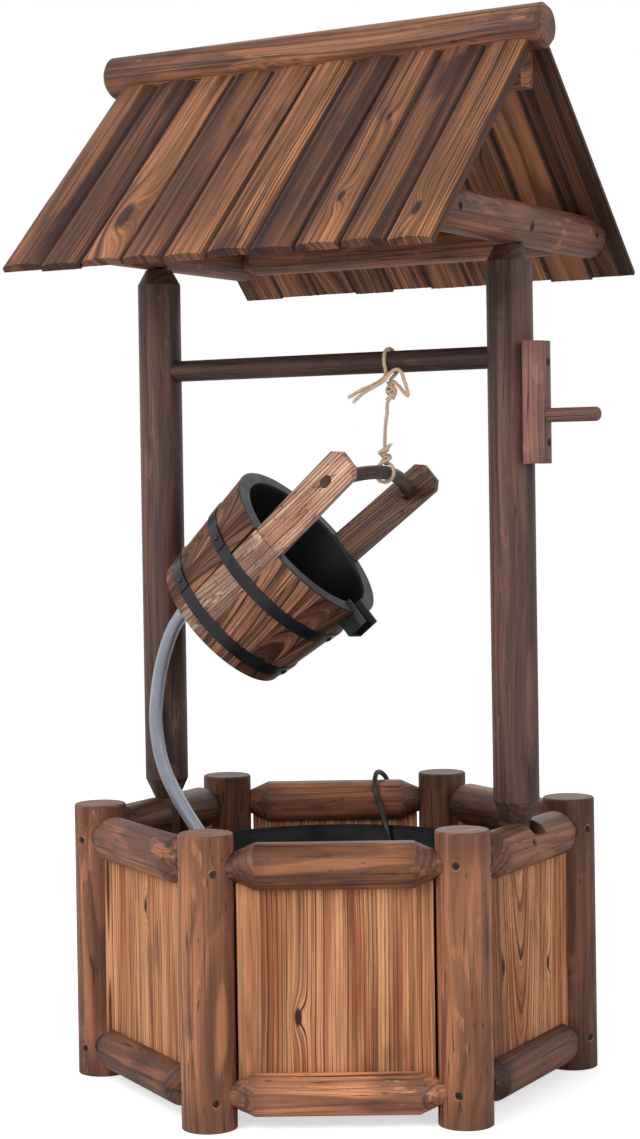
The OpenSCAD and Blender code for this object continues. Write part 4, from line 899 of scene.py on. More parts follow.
class FOUNTAIN_OT_panels(bpy.types.Operator):
    """Makes the six brushed panels"""

    bl_idname = "fountain.panels"
    bl_label = "Panels"

    def execute(self, context):
        piece = self.boards(self.wood())
        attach(piece, "frame")
        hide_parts(*[f"panel_{k}" for k in range(1, 7)])
        return {"FINISHED"}

    def wood(self):
        """Pale wood with painted shade next to the rails, and burnt sides on the right and the
        front panel.
        """
        material, graph, shader = new_material("panel_wood")
        face, index = graph.attribute("face"), graph.attribute("board", "Fac")
        lines = grain(graph, graph.attribute("grain"), face=face, index=index, **PANEL_GRAIN)
        across, _, height = graph.split(face)
        # Painted shade along the top and bottom of each panel, where the rails overhang it
        rail_shade = graph.step(abs(height), *PANEL_RAIL_SHADE)
        # The right panel is number 0 and the front one is number 5
        burnt = index.below(0.5).times(BURNT_RIGHT, index.above(4.5) * BURNT_FRONT)
        side = graph.step(lines["streak"].times(60.0, across), 40, -80, 0.0, 0.55)
        wood_finish(graph, shader, lines, *palettes()["panel"], contrast=1.0, scorch=0.5,
                    scorch_from=0.54, ends=[burnt.times(side, rail_shade)], gloss=0.6,
                    streaks=0.8, bands=0.3, fines=0.4)
        return material

    def boards(self, material):
        """Six boards in a ring, with the soft wood brushed out."""
        tree = Tree("Brushed panels", {**PANEL_SIZES, "Relief": trim_settings().panel_relief})
        size = tree.given
        block = tree.grow("MeshCube", {
            "Size": tree.join(size["Thickness"], size["Width"], size["Height"]),
            "Vertices X": 2, "Vertices Y": 170, "Vertices Z": 24})
        ring = tree.grow("MeshCircle", {"Vertices": 6, "Radius": size["Radius"]})
        panels, board, (depth, across, height) = tree.copies(block, ring, math.radians(SIDE_STEP))
        luck = tree.split(tree.chance(board + 3.0))
        angle = luck[0] - 0.5
        # The right panel was sawn close to the pith, so that its lines close in arches
        arched = board.below(0.5)
        pith = arched.times(-PANEL_PITH, PANEL_PITH)
        beside = arched.times(20.0, across)
        below = arched.times(height.times(-0.075, 24.0), depth)
        place = tree.join(tree.math("COSINE", angle).times(pith, beside),
                          tree.math("SINE", angle).times(pith, below),
                          luck[1].times(GRAIN_SPREAD, height))
        face = tree.join(across, 0.0, height)
        lines = grain(tree, place, face=face, index=board, **PANEL_GRAIN)
        panels = tree.stored(tree.stored(panels, "grain", place), "face", face)
        sunk = tree.step(lines["late"], 0.0, 0.8, -1.0, 0.0) * size["Relief"]
        up = tree.join(0.0, 0.0, size["Height"].times(0.5, size["Bottom"]))
        offset = tree.vector("ADD", tree.scaled(tree.grow("InputNormal"), sunk), up)
        panels = tree.grow("SetPosition", {"Geometry": panels, "Offset": offset})
        # The two panels under the uprights are lower where the feet pass
        turn = board * math.radians(SIDE_STEP)
        low = abs(across).below(FOOT_HALF) * abs(tree.math("SINE", turn)).below(0.1)
        z = tree.split(tree.grow("InputPosition"))[2]
        drop = low * tree.math("MINIMUM", PANEL_LOW_TOP - z, 0.0)
        panels = tree.grow("SetPosition", {"Geometry": panels, "Offset": tree.join(0.0, 0.0, drop)})
        tree.result(tree.crisp(panels, 1.0), material)
        return tree.piece("panel_boards")


# --------------------------------------------------------------------- roof

# Tone, strength of the lines and angle of the cut of each board, from the left end
FRONT_BOARDS = (
    (0.32, 0.25, 1.1), (0.15, 0.8, 0.35), (0.75, 0.35, 0.8), (0.2, 0.45, 0.3), (0.42, 0.5, 0.2),
    (0.95, 0.9, 0.15), (0.02, 0.4, 0.4), (0.5, 0.7, 0.6), (0.26, 0.5, 0.25), (0.55, 0.85, 0.1),
)
# The rear boards' tones run high: partly each board's own tone, partly painted light on the
# underside of the rear slope
REAR_BOARDS = (
    (0.5, 0.6, 0.3), (0.8, 0.8, 0.1), (0.5, 0.5, 0.6), (0.7, 0.9, 0.2), (1.0, 0.95, 0.1),
    (0.5, 0.4, 0.9), (0.75, 0.9, 0.2), (0.6, 0.4, 0.5), (0.75, 0.15, 1.3), (0.02, 0.3, 0.3),
)
# Knots of both slopes: board counted from the left end, across, down the slope and size
BOARD_KNOTS = (
    (2, -2.0, 258.0, 12.0),
    (7, 2.0, 255.0, 5.0),
    (7, 8.0, 120.0, 4.0),
    (9, -6.0, 285.0, 6.0),
)
BOARD_GRAIN = {"ring": 3.9, "wander": 16.0, "wobble": 1.8, "knots": BOARD_KNOTS}
BOARD_PITH = 75.0
# Sizes in metres: edge is the thickness at a board's sides, and the crown is added in the middle
BOARD_SIZES = {"Pitch": 0.0542, "Width": 0.0534, "Length": BOARD_L * MM, "Edge": 0.0075,
               "Crown": 0.0035, "Length step": 0.0018, "Start": BOARD_START * MM,
               "Apex": APEX_Z * MM, "Slope": SLOPE}
SIDE_GROOVE = 0.0022
EAVE_RAGGED, EAVE_FROM, EAVE_NOISE = 0.0018, 0.323, ((0.28, 0.2, 1.0), 2.0)
# How far down the slope the boards begin to be worn fresh, in millimetres
FRESH_FROM = 255


class FOUNTAIN_OT_roof(bpy.types.Operator):
    """Makes the brushed roof boards of both slopes"""

    bl_idname = "fountain.roof"
    bl_label = "Roof boards"

    def execute(self, context):
        material = self.wood()
        for side, name, kinds in ((-1, "front", FRONT_BOARDS), (1, "rear", REAR_BOARDS)):
            piece = self.boards(material, side, name, kinds)
            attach(piece, "frame")
            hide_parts(f"roof_boards_{name}")
        return {"FINISHED"}

    def wood(self):
        """Wood that is pale on some boards, charred on others, and fresh at the eaves."""
        light, mid, dark, burn = palettes()["board"]
        material, graph, shader = new_material("roof_board_wood")
        face, index = graph.attribute("face"), graph.attribute("board", "Fac")
        tone, lined, _ = graph.split(graph.attribute("kind"))
        lines = grain(graph, graph.attribute("grain"), face=face, index=index, **BOARD_GRAIN)
        across, depth, down = graph.split(face)
        # Pale boards are worn fresh towards the eave
        eave = graph.step(down, FRESH_FROM, BOARD_L, 0.0, 0.9) * tone.times(1.6, 0.1)
        fresh = graph.math("ADD", tone, eave * lines["streak"], clamp=True)
        pale = graph.mix(fresh, shaded(light, 0.42), light)
        usual = graph.mix(fresh, mid, shaded(light, 0.6))
        charred = graph.step(fresh, 0.55, 0.05, 0.0, 0.55) * graph.step(lines["streak"], 0.35, 0.65)
        # Dark sides and saw cuts: partly burnt wood, partly painted shade in the gaps between the
        # boards and on their end faces
        edge = graph.step(lines["tone"].times(5.0, abs(across)), 24.5, 28.5)
        sawn = graph.step(abs(depth), 3.74, 3.3, 0.0, 0.55)
        wood_finish(graph, shader, lines, pale, usual, dark, burn, contrast=lined.times(0.65, 0.3),
                    scorch=0.85, scorch_from=0.54, gloss=0.5, streaks=1.5,
                    ends=[graph.math("MAXIMUM", edge, sawn), charred],
                    bands=lined.times(-0.3, 0.85), fines=lined.times(0.5, 0.15))
        return material

    def boards(self, material, side, name, kinds):
        """The boards of one slope: side is -1 in front and 1 behind."""
        count = len(kinds)
        tree = Tree(f"Roof boards {name}", {
            **BOARD_SIZES, "Side": side, "Relief": trim_settings().board_relief,
            "Shift": REAR_SHIFT * MM if side > 0 else 0.0})
        size = tree.given
        block = tree.grow("MeshCube", {
            "Size": tree.join(size["Width"], size["Length"], size["Edge"]),
            "Vertices X": 44, "Vertices Y": 46, "Vertices Z": 2})
        row = tree.grow("MeshLine", {"Count": count}, mode="OFFSET")
        boards, board, (across, middle, depth) = tree.copies(block, row)
        luck = tree.split(tree.chance(board.times(1.7, size["Side"])))
        kind = self.listed(tree, board, kinds)
        flip = luck[0].above(0.5) * math.pi
        angle = kind[2].times(2.0, flip)
        along = size["Length"].times(0.5 / MM, middle)
        place = tree.join(tree.math("COSINE", angle).times(BOARD_PITH, across),
                          tree.math("SINE", angle).times(BOARD_PITH, depth),
                          luck[1].times(GRAIN_SPREAD, along))
        face = tree.join(across, depth, along)
        lines = grain(tree, place, face=face, index=board, **BOARD_GRAIN)
        for key, value in (("grain", place), ("face", face), ("kind", tree.join(*kind))):
            boards = tree.stored(boards, key, value)
        # Crowned upper face, with the soft wood brushed out between the growth lines
        upper = depth.above(0.0)
        share = across / (size["Width"] * (0.5 / MM))
        crown = (1.0 - share * share) * size["Crown"]
        crown = crown - tree.step(abs(share), 0.9, 1.0, 0.0, SIDE_GROOVE)
        carved = tree.step(lines["late"], 0.0, 0.8, 1.0, 0.0) * size["Relief"]
        lift = upper * (crown - carved * abs(share).below(0.98))
        height = size["Edge"].times(0.5, depth * MM) + lift
        # Lengths that differ a little, and a rough saw cut at the eave
        down = along * MM
        wave = tree.math("SINE", tree.math("RADIANS", board.times(137.0, size["Side"] * 60.0)))
        grown = down.times(size["Length step"] * wave / size["Length"], down)
        ragged = tree.join(across, depth, board * 40.0)
        ragged = tree.noise(ragged, *EAVE_NOISE)
        grown = grown - ragged * tree.step(down, EAVE_FROM, BOARD_L * MM, 0.0, EAVE_RAGGED)
        # From the slope's own frame to the fountain's
        x = across * MM + size["Shift"] + (board - (count - 1) / 2) * size["Pitch"]
        y = grown + size["Start"]
        sine, cosine = tree.math("SINE", size["Slope"]), tree.math("COSINE", size["Slope"])
        position = tree.join(x, (y * cosine + height * sine) * size["Side"],
                             height * cosine - y * sine + size["Apex"])
        boards = tree.grow("SetPosition", {"Geometry": boards, "Position": position})
        if side < 0:
            boards = tree.grow("FlipFaces", {0: boards})
        tree.result(tree.crisp(boards, 0.9), material)
        return tree.piece(f"roof_slats_{name}")

    def listed(self, tree, board, kinds):
        """The three numbers of each board's kind."""
        count = len(kinds)
        ramp = tree.node("ShaderNodeValToRGB", {0: (board + 0.5) / count})
        ramp.color_ramp.interpolation = "CONSTANT"
        steps = ramp.color_ramp.elements
        while len(steps) < count:
            steps.new(0.5)
        for i, (tone, lined, cut) in enumerate(kinds):
            steps[i].position = i / count
            steps[i].color = (tone, lined, cut / 2, 1)
        return tree.split(Value(tree, ramp.outputs[0]))


# ------------------------------------------------------------------- bucket


# Angle that a stave takes up, and the radius of its middle in millimetres
STAVE_ANGLE = math.radians(19.755)
STAVE_MIDDLE_R = 94.0
STAVE_PITH = 48.0
# Heights in the bucket's frame between which the staves turn dark, and the long staves' middle
STAVE_CHARRED = (-118.0, -146.0)
HANDLE_X, HANDLE_Y = 4, 100
# The rear long stave is darker than the others in its light, usual and line colours: partly its own
# tone, partly painted shade on the stave at the back of the bucket
REAR_HANDLE_TONE_AND_SHADE = (0.56, 0.56, 0.62, 1.0)


class FOUNTAIN_OT_bucket(bpy.types.Operator):
    """Stains the staves and finishes the liner, bands and bail"""

    bl_idname = "fountain.bucket"
    bl_label = "Bucket"

    def execute(self, context):
        wood, trim = palettes()["stave"], trim_settings()
        dress("bucket_staves", self.stave_wood(wood))
        light = (wood_settings().handle_light, wood_settings().handle_mid, *wood[2:])
        dark = [shaded(colour, shade) for colour, shade in zip(wood, REAR_HANDLE_TONE_AND_SHADE)]
        self.handle("handle_stave_front", -1, light, 91, scorch=0.6, scorch_from=0.62, contrast=0.7,
                    bands=0.4, stained=(32.0, -8.0))
        self.handle("handle_stave_rear", 1, dark, 92, scorch=0.5, contrast=0.85, bands=0.4)
        lying = BUCKET @ Matrix.Rotation(math.radians(90), 4, "X")
        stain("bucket_base", lying, wood, 93, pith=90)
        stain("bucket_bail", lying, palettes()["upright"], 94, shade=0.45, pith=60, ring=2.4,
              scorch=0.6, wear=0.3)
        dress("bucket_liner", self.liner_plastic(trim.plastic))
        band = plastic_material("band_paint", trim.band, 0.34, metallic=0.35)
        dress("bucket_bands", band)
        dress("band_rivets", band)
        dress("hose_fitting", plastic_material("fitting_plastic", trim.plastic, 0.5))
        return {"FINISHED"}

    def liner_plastic(self, colour):
        """Black plastic whose rim is lighter grey, partly its own colour and partly painted light,
        and whose inside is darkened with painted shade.
        """
        material, graph, shader = new_material("liner_plastic")
        place = object_place(graph, BUCKET)
        wear = graph.noise(place, (0.05, 0.05, 0.05), 3.0)
        # Painted light on the rim, made patchy by the noise, and painted shade on the rest of the
        # liner
        rim = graph.step(graph.split(place)[2], -5.0, -1.5)
        tint = graph.mix(rim * graph.step(wear, 0.3, 0.7, 0.65, 1.0), shaded(colour, 0.3),
                         shaded(colour, 3.6))
        connect(graph, shader, Base_Color=tint, Roughness=graph.step(wear, 0.3, 0.7, 0.5, 0.62),
                Normal=moulded(graph, place), Specular_IOR_Level=0.3)
        return material

    def handle(self, name, side, palette, seed, **finish):
        """Wood of one of the two long staves."""
        matrix = BUCKET @ Matrix.Translation(Vector((HANDLE_X, side * HANDLE_Y, 0)) * MM)
        stain(name, matrix, palette, seed, pith=46, ring=3.6, **finish)

    def stave_wood(self, palette):
        """Wood whose growth lines differ from stave to stave."""
        material, graph, shader = new_material("stave_wood")
        x, y, z = graph.split(object_place(graph, BUCKET))
        # Number of the stave, counted from the X axis on its own side of the long staves
        angle = graph.math("ARCTAN2", y, x)
        left = x.below(0.0)
        angle = angle - left * (graph.math("SIGN", angle) * math.pi)
        number = graph.math("FLOOR", angle / STAVE_ANGLE)
        across = (angle - (number + 0.5) * STAVE_ANGLE) * 100.0
        depth = graph.vector("LENGTH", graph.join(x, y, 0.0)) - STAVE_MIDDLE_R
        luck = graph.split(graph.chance(left.times(20.0, number) + 31.0))
        way = luck[0].times(2.4, 0.35)
        place = graph.join(graph.math("COSINE", way).times(STAVE_PITH, across),
                           graph.math("SINE", way).times(STAVE_PITH, depth),
                           luck[1].times(GRAIN_SPREAD, z))
        lines = grain(graph, place, 3.4, 20.0, 1.6)
        light, mid, dark, burn = palette
        pale = graph.mix(luck[2], shaded(light, 0.7), light)
        usual = graph.mix(luck[2], shaded(mid, 0.78), shaded(mid, 1.1))
        bottom = graph.step(z, *STAVE_CHARRED, 0.0, 0.4)
        wood_finish(graph, shader, lines, pale, usual, dark, burn, contrast=0.92, scorch=0.55,
                    scorch_from=0.55, ends=[bottom], gloss=0.5, streaks=1.2, bands=0.55,
                    fines=0.5)
        return material


def moulded(graph, place):
    """The fine, uneven skin of moulded plastic, as a normal."""
    return graph.bump(graph.noise(place, (1.6, 1.6, 1.6), 2.0), 0.18, 0.0002)


def plastic_material(name, colour, rough, metallic=0.0):
    """Moulded plastic or paint with a fine, uneven skin."""
    material, graph, shader = new_material(name)
    place = object_place(graph, Matrix.Identity(4))
    wear = graph.noise(place, (0.03, 0.03, 0.03), 3.0)
    tint = graph.mix(graph.step(wear, 0.35, 0.7), shaded(colour, 0.85), shaded(colour, 1.25))
    uneven = graph.step(wear, 0.3, 0.75, rough - 0.05, rough + 0.1)
    connect(graph, shader, Base_Color=tint, Roughness=uneven, Metallic=metallic,
            Normal=moulded(graph, place), Specular_IOR_Level=0.5)
    return material


class FOUNTAIN_OT_basin(bpy.types.Operator):
    """Finishes the basin and the pump"""

    bl_idname = "fountain.basin"
    bl_label = "Basin and pump"

    def execute(self, context):
        black = trim_settings().plastic
        dress("basin", plastic_material("basin_plastic", shaded(black, 0.8), 0.4))
        for name in ("pump_body", "pump_chamber", "pump_strainer"):
            dress(name, plastic_material(f"{name}_plastic", black, 0.45))
        dress("pump_impeller", plastic_material("impeller_plastic", srgb(214, 210, 200), 0.5))
        dress("pump_dial", plastic_material("dial_plastic", srgb(120, 122, 126), 0.5))
        dress("pump_feet", plastic_material("feet_rubber", srgb(58, 58, 60), 0.75))
        return {"FINISHED"}


# ------------------------------------------------------------------- screws


# Lengths and places of the screws, in millimetres
POST_SCREW_L, FOOT_SCREW_L, HEAD_SCREW_L = 70.0, 45.0, 62.0
PURLIN_SCREW_L, PLATE_SCREW_L, BUCKET_SCREW_L = 60.0, 40.0, 72.0
RAIL_R = 25.0
FOOT_SCREW_LIFT = 6.0
FOOT_SCREW_SHIFT = -20
PLATE_TOP, PLATE_L, PLATE_SCREW_IN = 826.5, 133.5, 22.9


def screw_places():
    """Head and way into the wood of every screw, in millimetres, with its length."""
    found = []
    start = SIDE_HALF + POST_CHORD - SCREW_SINK
    # Into the rails' ends; in a post, the screws of its two sides pass each other
    for k in range(1, 7):
        _, out, along = side_frame(k)
        for end, level in ((-1, 0.5), (1, -4.5)):
            for z in (BOTTOM_RAIL_Z, TOP_RAIL_Z):
                head = out * RAIL_X + along * (end * start) + Vector((0, 0, z + level))
                found.append((head, -end * along, POST_SCREW_L))
    posts = len(found)
    # Slanting through the left and right top rails into the uprights' feet
    sideways, down = math.radians(-32), math.radians(14)
    reach = math.sqrt(RAIL_R**2 - FOOT_SCREW_LIFT**2) - SCREW_SINK
    for k in (2, 5):
        angle, out, along = side_frame(k)
        head = out * (RAIL_X + reach) + along * FOOT_SCREW_SHIFT
        head.z = TOP_RAIL_Z + FOOT_SCREW_LIFT
        way = (Matrix.Rotation(angle + sideways, 3, "Z")
               @ Matrix.Rotation(math.pi / 2 - down, 3, "Y") @ Vector((0, 0, -1)))
        found.append((head, way, FOOT_SCREW_L))
    # Through the tie beams into the uprights' heads and the purlins' ends
    turn = math.radians(20)
    reach = TIE_R - SCREW_SINK
    for s in (1, -1):
        head = Vector((s * (TIE_X + reach * math.cos(turn)), 0, TIE_Z - reach * math.sin(turn)))
        found.append((head, Vector((-s, 0, -1)).normalized(), HEAD_SCREW_L))
        for y in (-PURLIN_Y, PURLIN_Y):
            head = Vector((s * (TIE_X + reach), y, TIE_Z))
            found.append((head, Vector((-s, 0, 0)), PURLIN_SCREW_L))
    # Through the crank plate into the right upright
    for z in (PLATE_TOP - PLATE_SCREW_IN, PLATE_TOP - PLATE_L + PLATE_SCREW_IN):
        head = Vector((CRANK_CREST - SCREW_SINK, 0, z))
        found.append((head, Vector((-1, 0, 0)), PLATE_SCREW_L))
    # Through the left upright into the bucket's bottom edge
    rise = math.radians(25)
    ring = BOTTOM_R - STAVE_T / 2
    edge_x = BUCKET_X - BUCKET_L * AXIS_X - ring * math.sqrt(1 - AXIS_X**2)
    edge_z = (ROD_Z - BUCKET_DROP - BUCKET_L * math.cos(BUCKET_TILT)
              + ring * math.sin(BUCKET_TILT))
    head_x = SCREW_SINK - UPRIGHT_X - UPRIGHT_R
    head = Vector((head_x, 0, edge_z - (edge_x - head_x) * math.tan(rise)))
    found.append((head, Vector((math.cos(rise), 0, math.sin(rise))), BUCKET_SCREW_L))
    return found, posts


SCREW_SIDES = 32
# Radius and height of the rings from under the head up to its flat, in millimetres
SCREW_HEAD = ((1.5, -2.4), (2.0, -2.0), (4.0, -0.3), (3.85, 0.0))
SCREW_TIP = 3.0
RECESS_HALF, RECESS_REACH, RECESS_DEPTH = 0.55, 2.1, 1.3


def screw_points(length):
    """Points and faces of a countersunk screw with a cross recess, its head up at the origin."""
    count = SCREW_SIDES
    rings = [circle(SCREW_HEAD[0][0], count, SCREW_TIP - length)]
    rings += [circle(radius, count, z) for radius, z in SCREW_HEAD]
    for share, z in ((1.0, 0.0), (0.55, -RECESS_DEPTH)):
        cross = []
        for j in range(count):
            a = TURN * (j + 0.5) / count
            c, s = abs(math.cos(a)), abs(math.sin(a))
            reach = max(min(RECESS_HALF / s, RECESS_REACH / c),
                        min(RECESS_HALF / c, RECESS_REACH / s))
            cross.append((share * reach * math.cos(a), share * reach * math.sin(a), z))
        rings.append(cross)
    points = [p for ring in rings for p in ring] + [(0, 0, -length)]
    faces = between_rings(len(rings), count)
    faces.append(tuple(range((len(rings) - 1) * count, len(rings) * count)))
    faces += [(len(points) - 1, (j + 1) % count, j) for j in range(count)]
    return points, faces


# Torn rims of the screw holes: points round a hole, points round the rim, radius
RIM_POINTS, RIM_SIDES, RIM_R = 28, 6, 4.75
# Least half width, what bias adds to it, raggedness, flatness, and depth in the wood
RIM_FAT, RIM_BIAS, RIM_RAGGED, RIM_FLAT, RIM_SINK = 0.2, 0.34, 0.12, 0.6, 0.15


class FOUNTAIN_OT_screws(bpy.types.Operator):
    """Puts cross-head screws into the wood"""

    bl_idname = "fountain.screws"
    bl_label = "Screws"

    def execute(self, context):
        material = plastic_material("screw_steel", trim_settings().screw, 0.4, metallic=0.85)
        found, posts = screw_places()
        for name, node, rows in (("post_screw_heads", "post_screws", found[:posts]),
                                 ("fixing_screw_heads", "fixing_screws", found[posts:])):
            parts = []
            for length in sorted({row[2] for row in rows}):
                alike = [row for row in rows if row[2] == length]
                parts.append(self.screws(f"{name}_{int(length)}", alike, material))
            piece = joined(parts, name)
            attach(piece, "frame")
            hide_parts(node)
        self.torn_rims(found[:posts])
        return {"FINISHED"}

    def screws(self, name, rows, material):
        """One screw at each place, by a geometry tree."""
        heads, ways, lengths = zip(*rows)
        screw = screw_points(lengths[0])
        pattern = mesh_object(f"{name}_pattern", *screw, material, smooth=False)
        holder = mesh_object(name, heads, [], material)
        outwards = holder.data.attributes.new("way", "FLOAT_VECTOR", "POINT")
        for i, way in enumerate(ways):
            outwards.data[i].vector = -way
        tree = Tree(f"{name} tree", {"Size": 1.0, "Spin": 2.1}, "Places")
        size = tree.given["Size"]
        turned = tree.out(0, "FunctionNodeAlignRotationToVector", {"Vector": tree.attribute("way")},
                          axis="Z")
        spin = tree.out(0, "FunctionNodeAxisAngleToRotation", {
            "Axis": (0, 0, 1), "Angle": tree.grow("InputIndex") * tree.given["Spin"]})
        rotation = tree.out(0, "FunctionNodeRotateRotation", {0: turned, 1: spin},
                            rotation_space="LOCAL")
        tree.result(tree.grow("InstanceOnPoints", {
            "Points": tree.given["Places"],
            "Instance": tree.out("Geometry", "GeometryNodeObjectInfo", {"Object": pattern}),
            "Rotation": rotation, "Scale": tree.join(size, size, size)}), material)
        tree.run(holder, name)
        bpy.data.objects.remove(pattern)
        return holder

    def torn_rims(self, rows):
        """Pale torn wood round the holes in the posts, lying on the round posts."""
        material, graph, shader = new_material("raw_wood")
        place = object_place(graph, Matrix.Identity(4))
        torn = graph.noise(place, (0.5, 0.5, 0.5), 3.0)
        light = trim_settings().raw_wood
        tint = graph.mix(graph.step(torn, 0.38, 0.62), shaded(light, 0.45), light)
        connect(graph, shader, Base_Color=tint, Roughness=0.8)
        chance = random.Random(5)
        rims = Shape()
        for head, way, _ in rows:
            rims.add(self.torn_rim(head, -way, chance), between_rings(RIM_POINTS, RIM_SIDES, True))
        piece = mesh_object("screw_hole_rims", rims.points, rims.faces, material)
        outward(piece)
        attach(piece, "frame")

    def torn_rim(self, head, out, chance):
        """Points of one uneven ring round a screw, pressed onto its post."""
        up = Vector((0, 0, 1))
        across = up.cross(out).normalized()
        centre = head - out * out.dot(head)
        bias = chance.uniform(0, TURN)
        posts = [POST_CIRCLE * Vector((math.cos(a), math.sin(a), 0))
                 for a in (math.radians(-90 + SIDE_STEP * k) for k in range(6))]
        post = min(posts, key=lambda p: (p - Vector((head.x, head.y, 0))).length)
        points = []
        for j in range(RIM_POINTS):
            a = TURN * j / RIM_POINTS
            ragged = chance.uniform(-RIM_RAGGED, RIM_RAGGED)
            fat = RIM_FAT + RIM_BIAS * max(0.0, math.cos(a - bias)) + abs(ragged)
            for i in range(RIM_SIDES):
                b = TURN * i / RIM_SIDES
                reach = RIM_R + ragged + fat * math.cos(b)
                spot = centre + across * (reach * math.cos(a)) + up * (reach * math.sin(a))
                flat = Vector((spot.x, spot.y, 0)) - post
                side = flat - out * flat.dot(out)
                bulge = math.sqrt(max(POST_R**2 - side.length_squared, 0.0))
                lift = post.dot(out) + bulge - RIM_SINK + fat * RIM_FLAT * math.sin(b)
                points.append(spot + out * (lift - spot.dot(out)))
        return points


def joined(parts, name):
    """One mesh object from several."""
    first = parts[0]
    if len(parts) > 1:
        with bpy.context.temp_override(active_object=first, selected_editable_objects=parts):
            bpy.ops.object.join()
    first.name = name
    first.data.name = name
    return first


def outward(piece):
    """Turns every face of a closed mesh outwards."""
    work = bmesh.new()
    work.from_mesh(piece.data)
    bmesh.ops.recalc_face_normals(work, faces=work.faces)
    work.to_mesh(piece.data)
    work.free()


# ------------------------------------------------------ rope, hose and lead


HOSE_WALL = 1.7
HOSE_SIDES = 28
HOSE_STEP = 5.0


def hose_route(step):
    """Centre line of the hose, from the fitting to the pump's nozzle."""
    start = at_bucket(*INLET, HOSE_START)
    after = at_bucket(*INLET, HOSE_START - HOSE_D / 2)
    end = Vector((*NOZZLE, NOZZLE_TOP))
    return smooth_route([start, after, *HOSE_ROUTE, end + Vector((0, 0, HOSE_D)), end], step)


class FOUNTAIN_OT_hose(bpy.types.Operator):
    """Makes the clear hose"""

    bl_idname = "fountain.hose"
    bl_label = "Hose"

    def execute(self, context):
        clear, graph, shader = new_material("clear_hose")
        uneven = graph.step(self.cloud(graph), 0.3, 0.7, 0.01, 0.04)
        connect(graph, shader, Base_Color=trim_settings().hose, Transmission_Weight=0.97, IOR=1.22,
                Roughness=uneven, Coat_Weight=0.8, Coat_Roughness=0.04)
        bore, graph, shader = new_material("hose_bore")
        milk = trim_settings().hose_bore
        tint = graph.mix(self.cloud(graph), shaded(milk, 0.8), shaded(milk, 1.15))
        connect(graph, shader, Base_Color=tint, Transmission_Weight=0.3, IOR=1.2, Roughness=0.25)
        route = hose_route(HOSE_STEP)
        hose = Shape()
        outside, inside = ([radius] * len(route) for radius in (HOSE_D / 2, HOSE_D / 2 - HOSE_WALL))
        hose.add(*tube_mesh(route, outside, HOSE_SIDES, closed=False))
        inner, faces = tube_mesh(route, inside, HOSE_SIDES, closed=False)
        within = range(len(hose.faces), len(hose.faces) + len(faces))
        count = len(hose.points)
        hose.add(inner, [tuple(reversed(face)) for face in faces])
        last = (len(route) - 1) * HOSE_SIDES
        for j in range(HOSE_SIDES):
            k = (j + 1) % HOSE_SIDES
            hose.faces.append((k, j, count + j, count + k))
            hose.faces.append((last + j, last + k, count + last + k, count + last + j))
        piece = mesh_object("clear_hose", hose.points, hose.faces, clear)
        piece.data.materials.append(bore)
        for i in within:
            piece.data.polygons[i].material_index = 1
        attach(piece, "frame")
        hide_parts("hose")
        route[0] * MM
        cord_length(route)
        in_metres(route)
        return {"FINISHED"}

    def cloud(self, graph):
        """Slow, uneven haze along the hose."""
        return graph.noise(object_place(graph, Matrix.Identity(4)), (0.05, 0.05, 0.02), 2.0)


LEAD_STEP, COIL_POINT_STEP, LEAD_SIDES = 5.0, 4.0, 12
# Straight ends of the lead: out of the gland, and before the coil; the coil's height off the floor
LEAD_OUT = 12
COIL_APPROACH = (30, 12)
COIL_LIFT = 0.4
# Strain relief at the pump: its rings' radii, their first place and distance in millimetres
RELIEF_RADII = (4.6, 4.6, 4.2, 4.4, 3.9, 3.6)
RELIEF_START, RELIEF_PITCH, RELIEF_SIDES = 3, 4, 20


def coil_route():
    """Centre line of the coil: in on the floor, and out again on top."""
    half = COIL_TURNS / 2
    wound = []
    for i in range(COIL_TURNS * COIL_RINGS + 1):
        turn = i / COIL_RINGS
        # Inwards on the floor, a climb within half a turn, and outwards on top
        inwards = turn if turn < half else COIL_TURNS - turn
        radius = COIL_MEAN_R + COIL_PITCH * (half / 2 - inwards)
        climb = min(max((turn - half) / 0.5 + 0.5, 0), 1)
        z = LEAD_D / 2 + COIL_LIFT + COIL_STEP * climb**2 * (3 - 2 * climb)
        a = COIL_ENTRY + TURN * turn
        wound.append(Vector((*COIL_AT, z)) + radius * Vector((math.cos(a), math.sin(a), 0)))
    start = wound[0] - wound[1]
    end = wound[-1] - wound[-2]
    start.z = end.z = 0
    start, end = start.normalized(), end.normalized()
    return [wound[0] + LEAD_D * start, *wound,
            wound[-1] + LEAD_D * end, wound[-1] + COIL_END_L * end]


class FOUNTAIN_OT_lead(bpy.types.Operator):
    """Makes the mains lead with its coil and finishes the plug"""

    bl_idname = "fountain.lead"
    bl_label = "Mains lead"

    def execute(self, context):
        material = plastic_material("lead_rubber", trim_settings().lead, 0.42)
        coil = coil_route()
        way = (coil[1] - coil[0]).normalized()
        gland = Vector(GLAND_MOUTH)
        route = smooth_route([gland, gland + Vector((0, LEAD_OUT, 0)), *LEAD_ROUTE,
                              *[coil[0] - far * way for far in COIL_APPROACH], coil[0]], LEAD_STEP)
        route = route[:-1] + smooth_route(coil, COIL_POINT_STEP)
        lead = tube_mesh(route, [LEAD_D / 2] * len(route), LEAD_SIDES)
        piece = mesh_object("mains_lead", *lead, material)
        relief = [gland + Vector((0, RELIEF_START + RELIEF_PITCH * i, 0))
                  for i, _ in enumerate(RELIEF_RADII)]
        relief = tube_mesh(relief, RELIEF_RADII, RELIEF_SIDES)
        sleeve = mesh_object("lead_relief", *relief, material)
        for part in (sleeve, piece):
            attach(part, "frame")
        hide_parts("power_cord", "cord_coil")
        dress("power_plug", plastic_material("plug_rubber", trim_settings().lead, 0.5))
        cord_length(route)
        in_metres(route)
        return {"FINISHED"}


# Radius of a rope against that of its strands, and points round a strand
ROPE_TO_STRAND = 2.1
STRAND_SIDES = 7


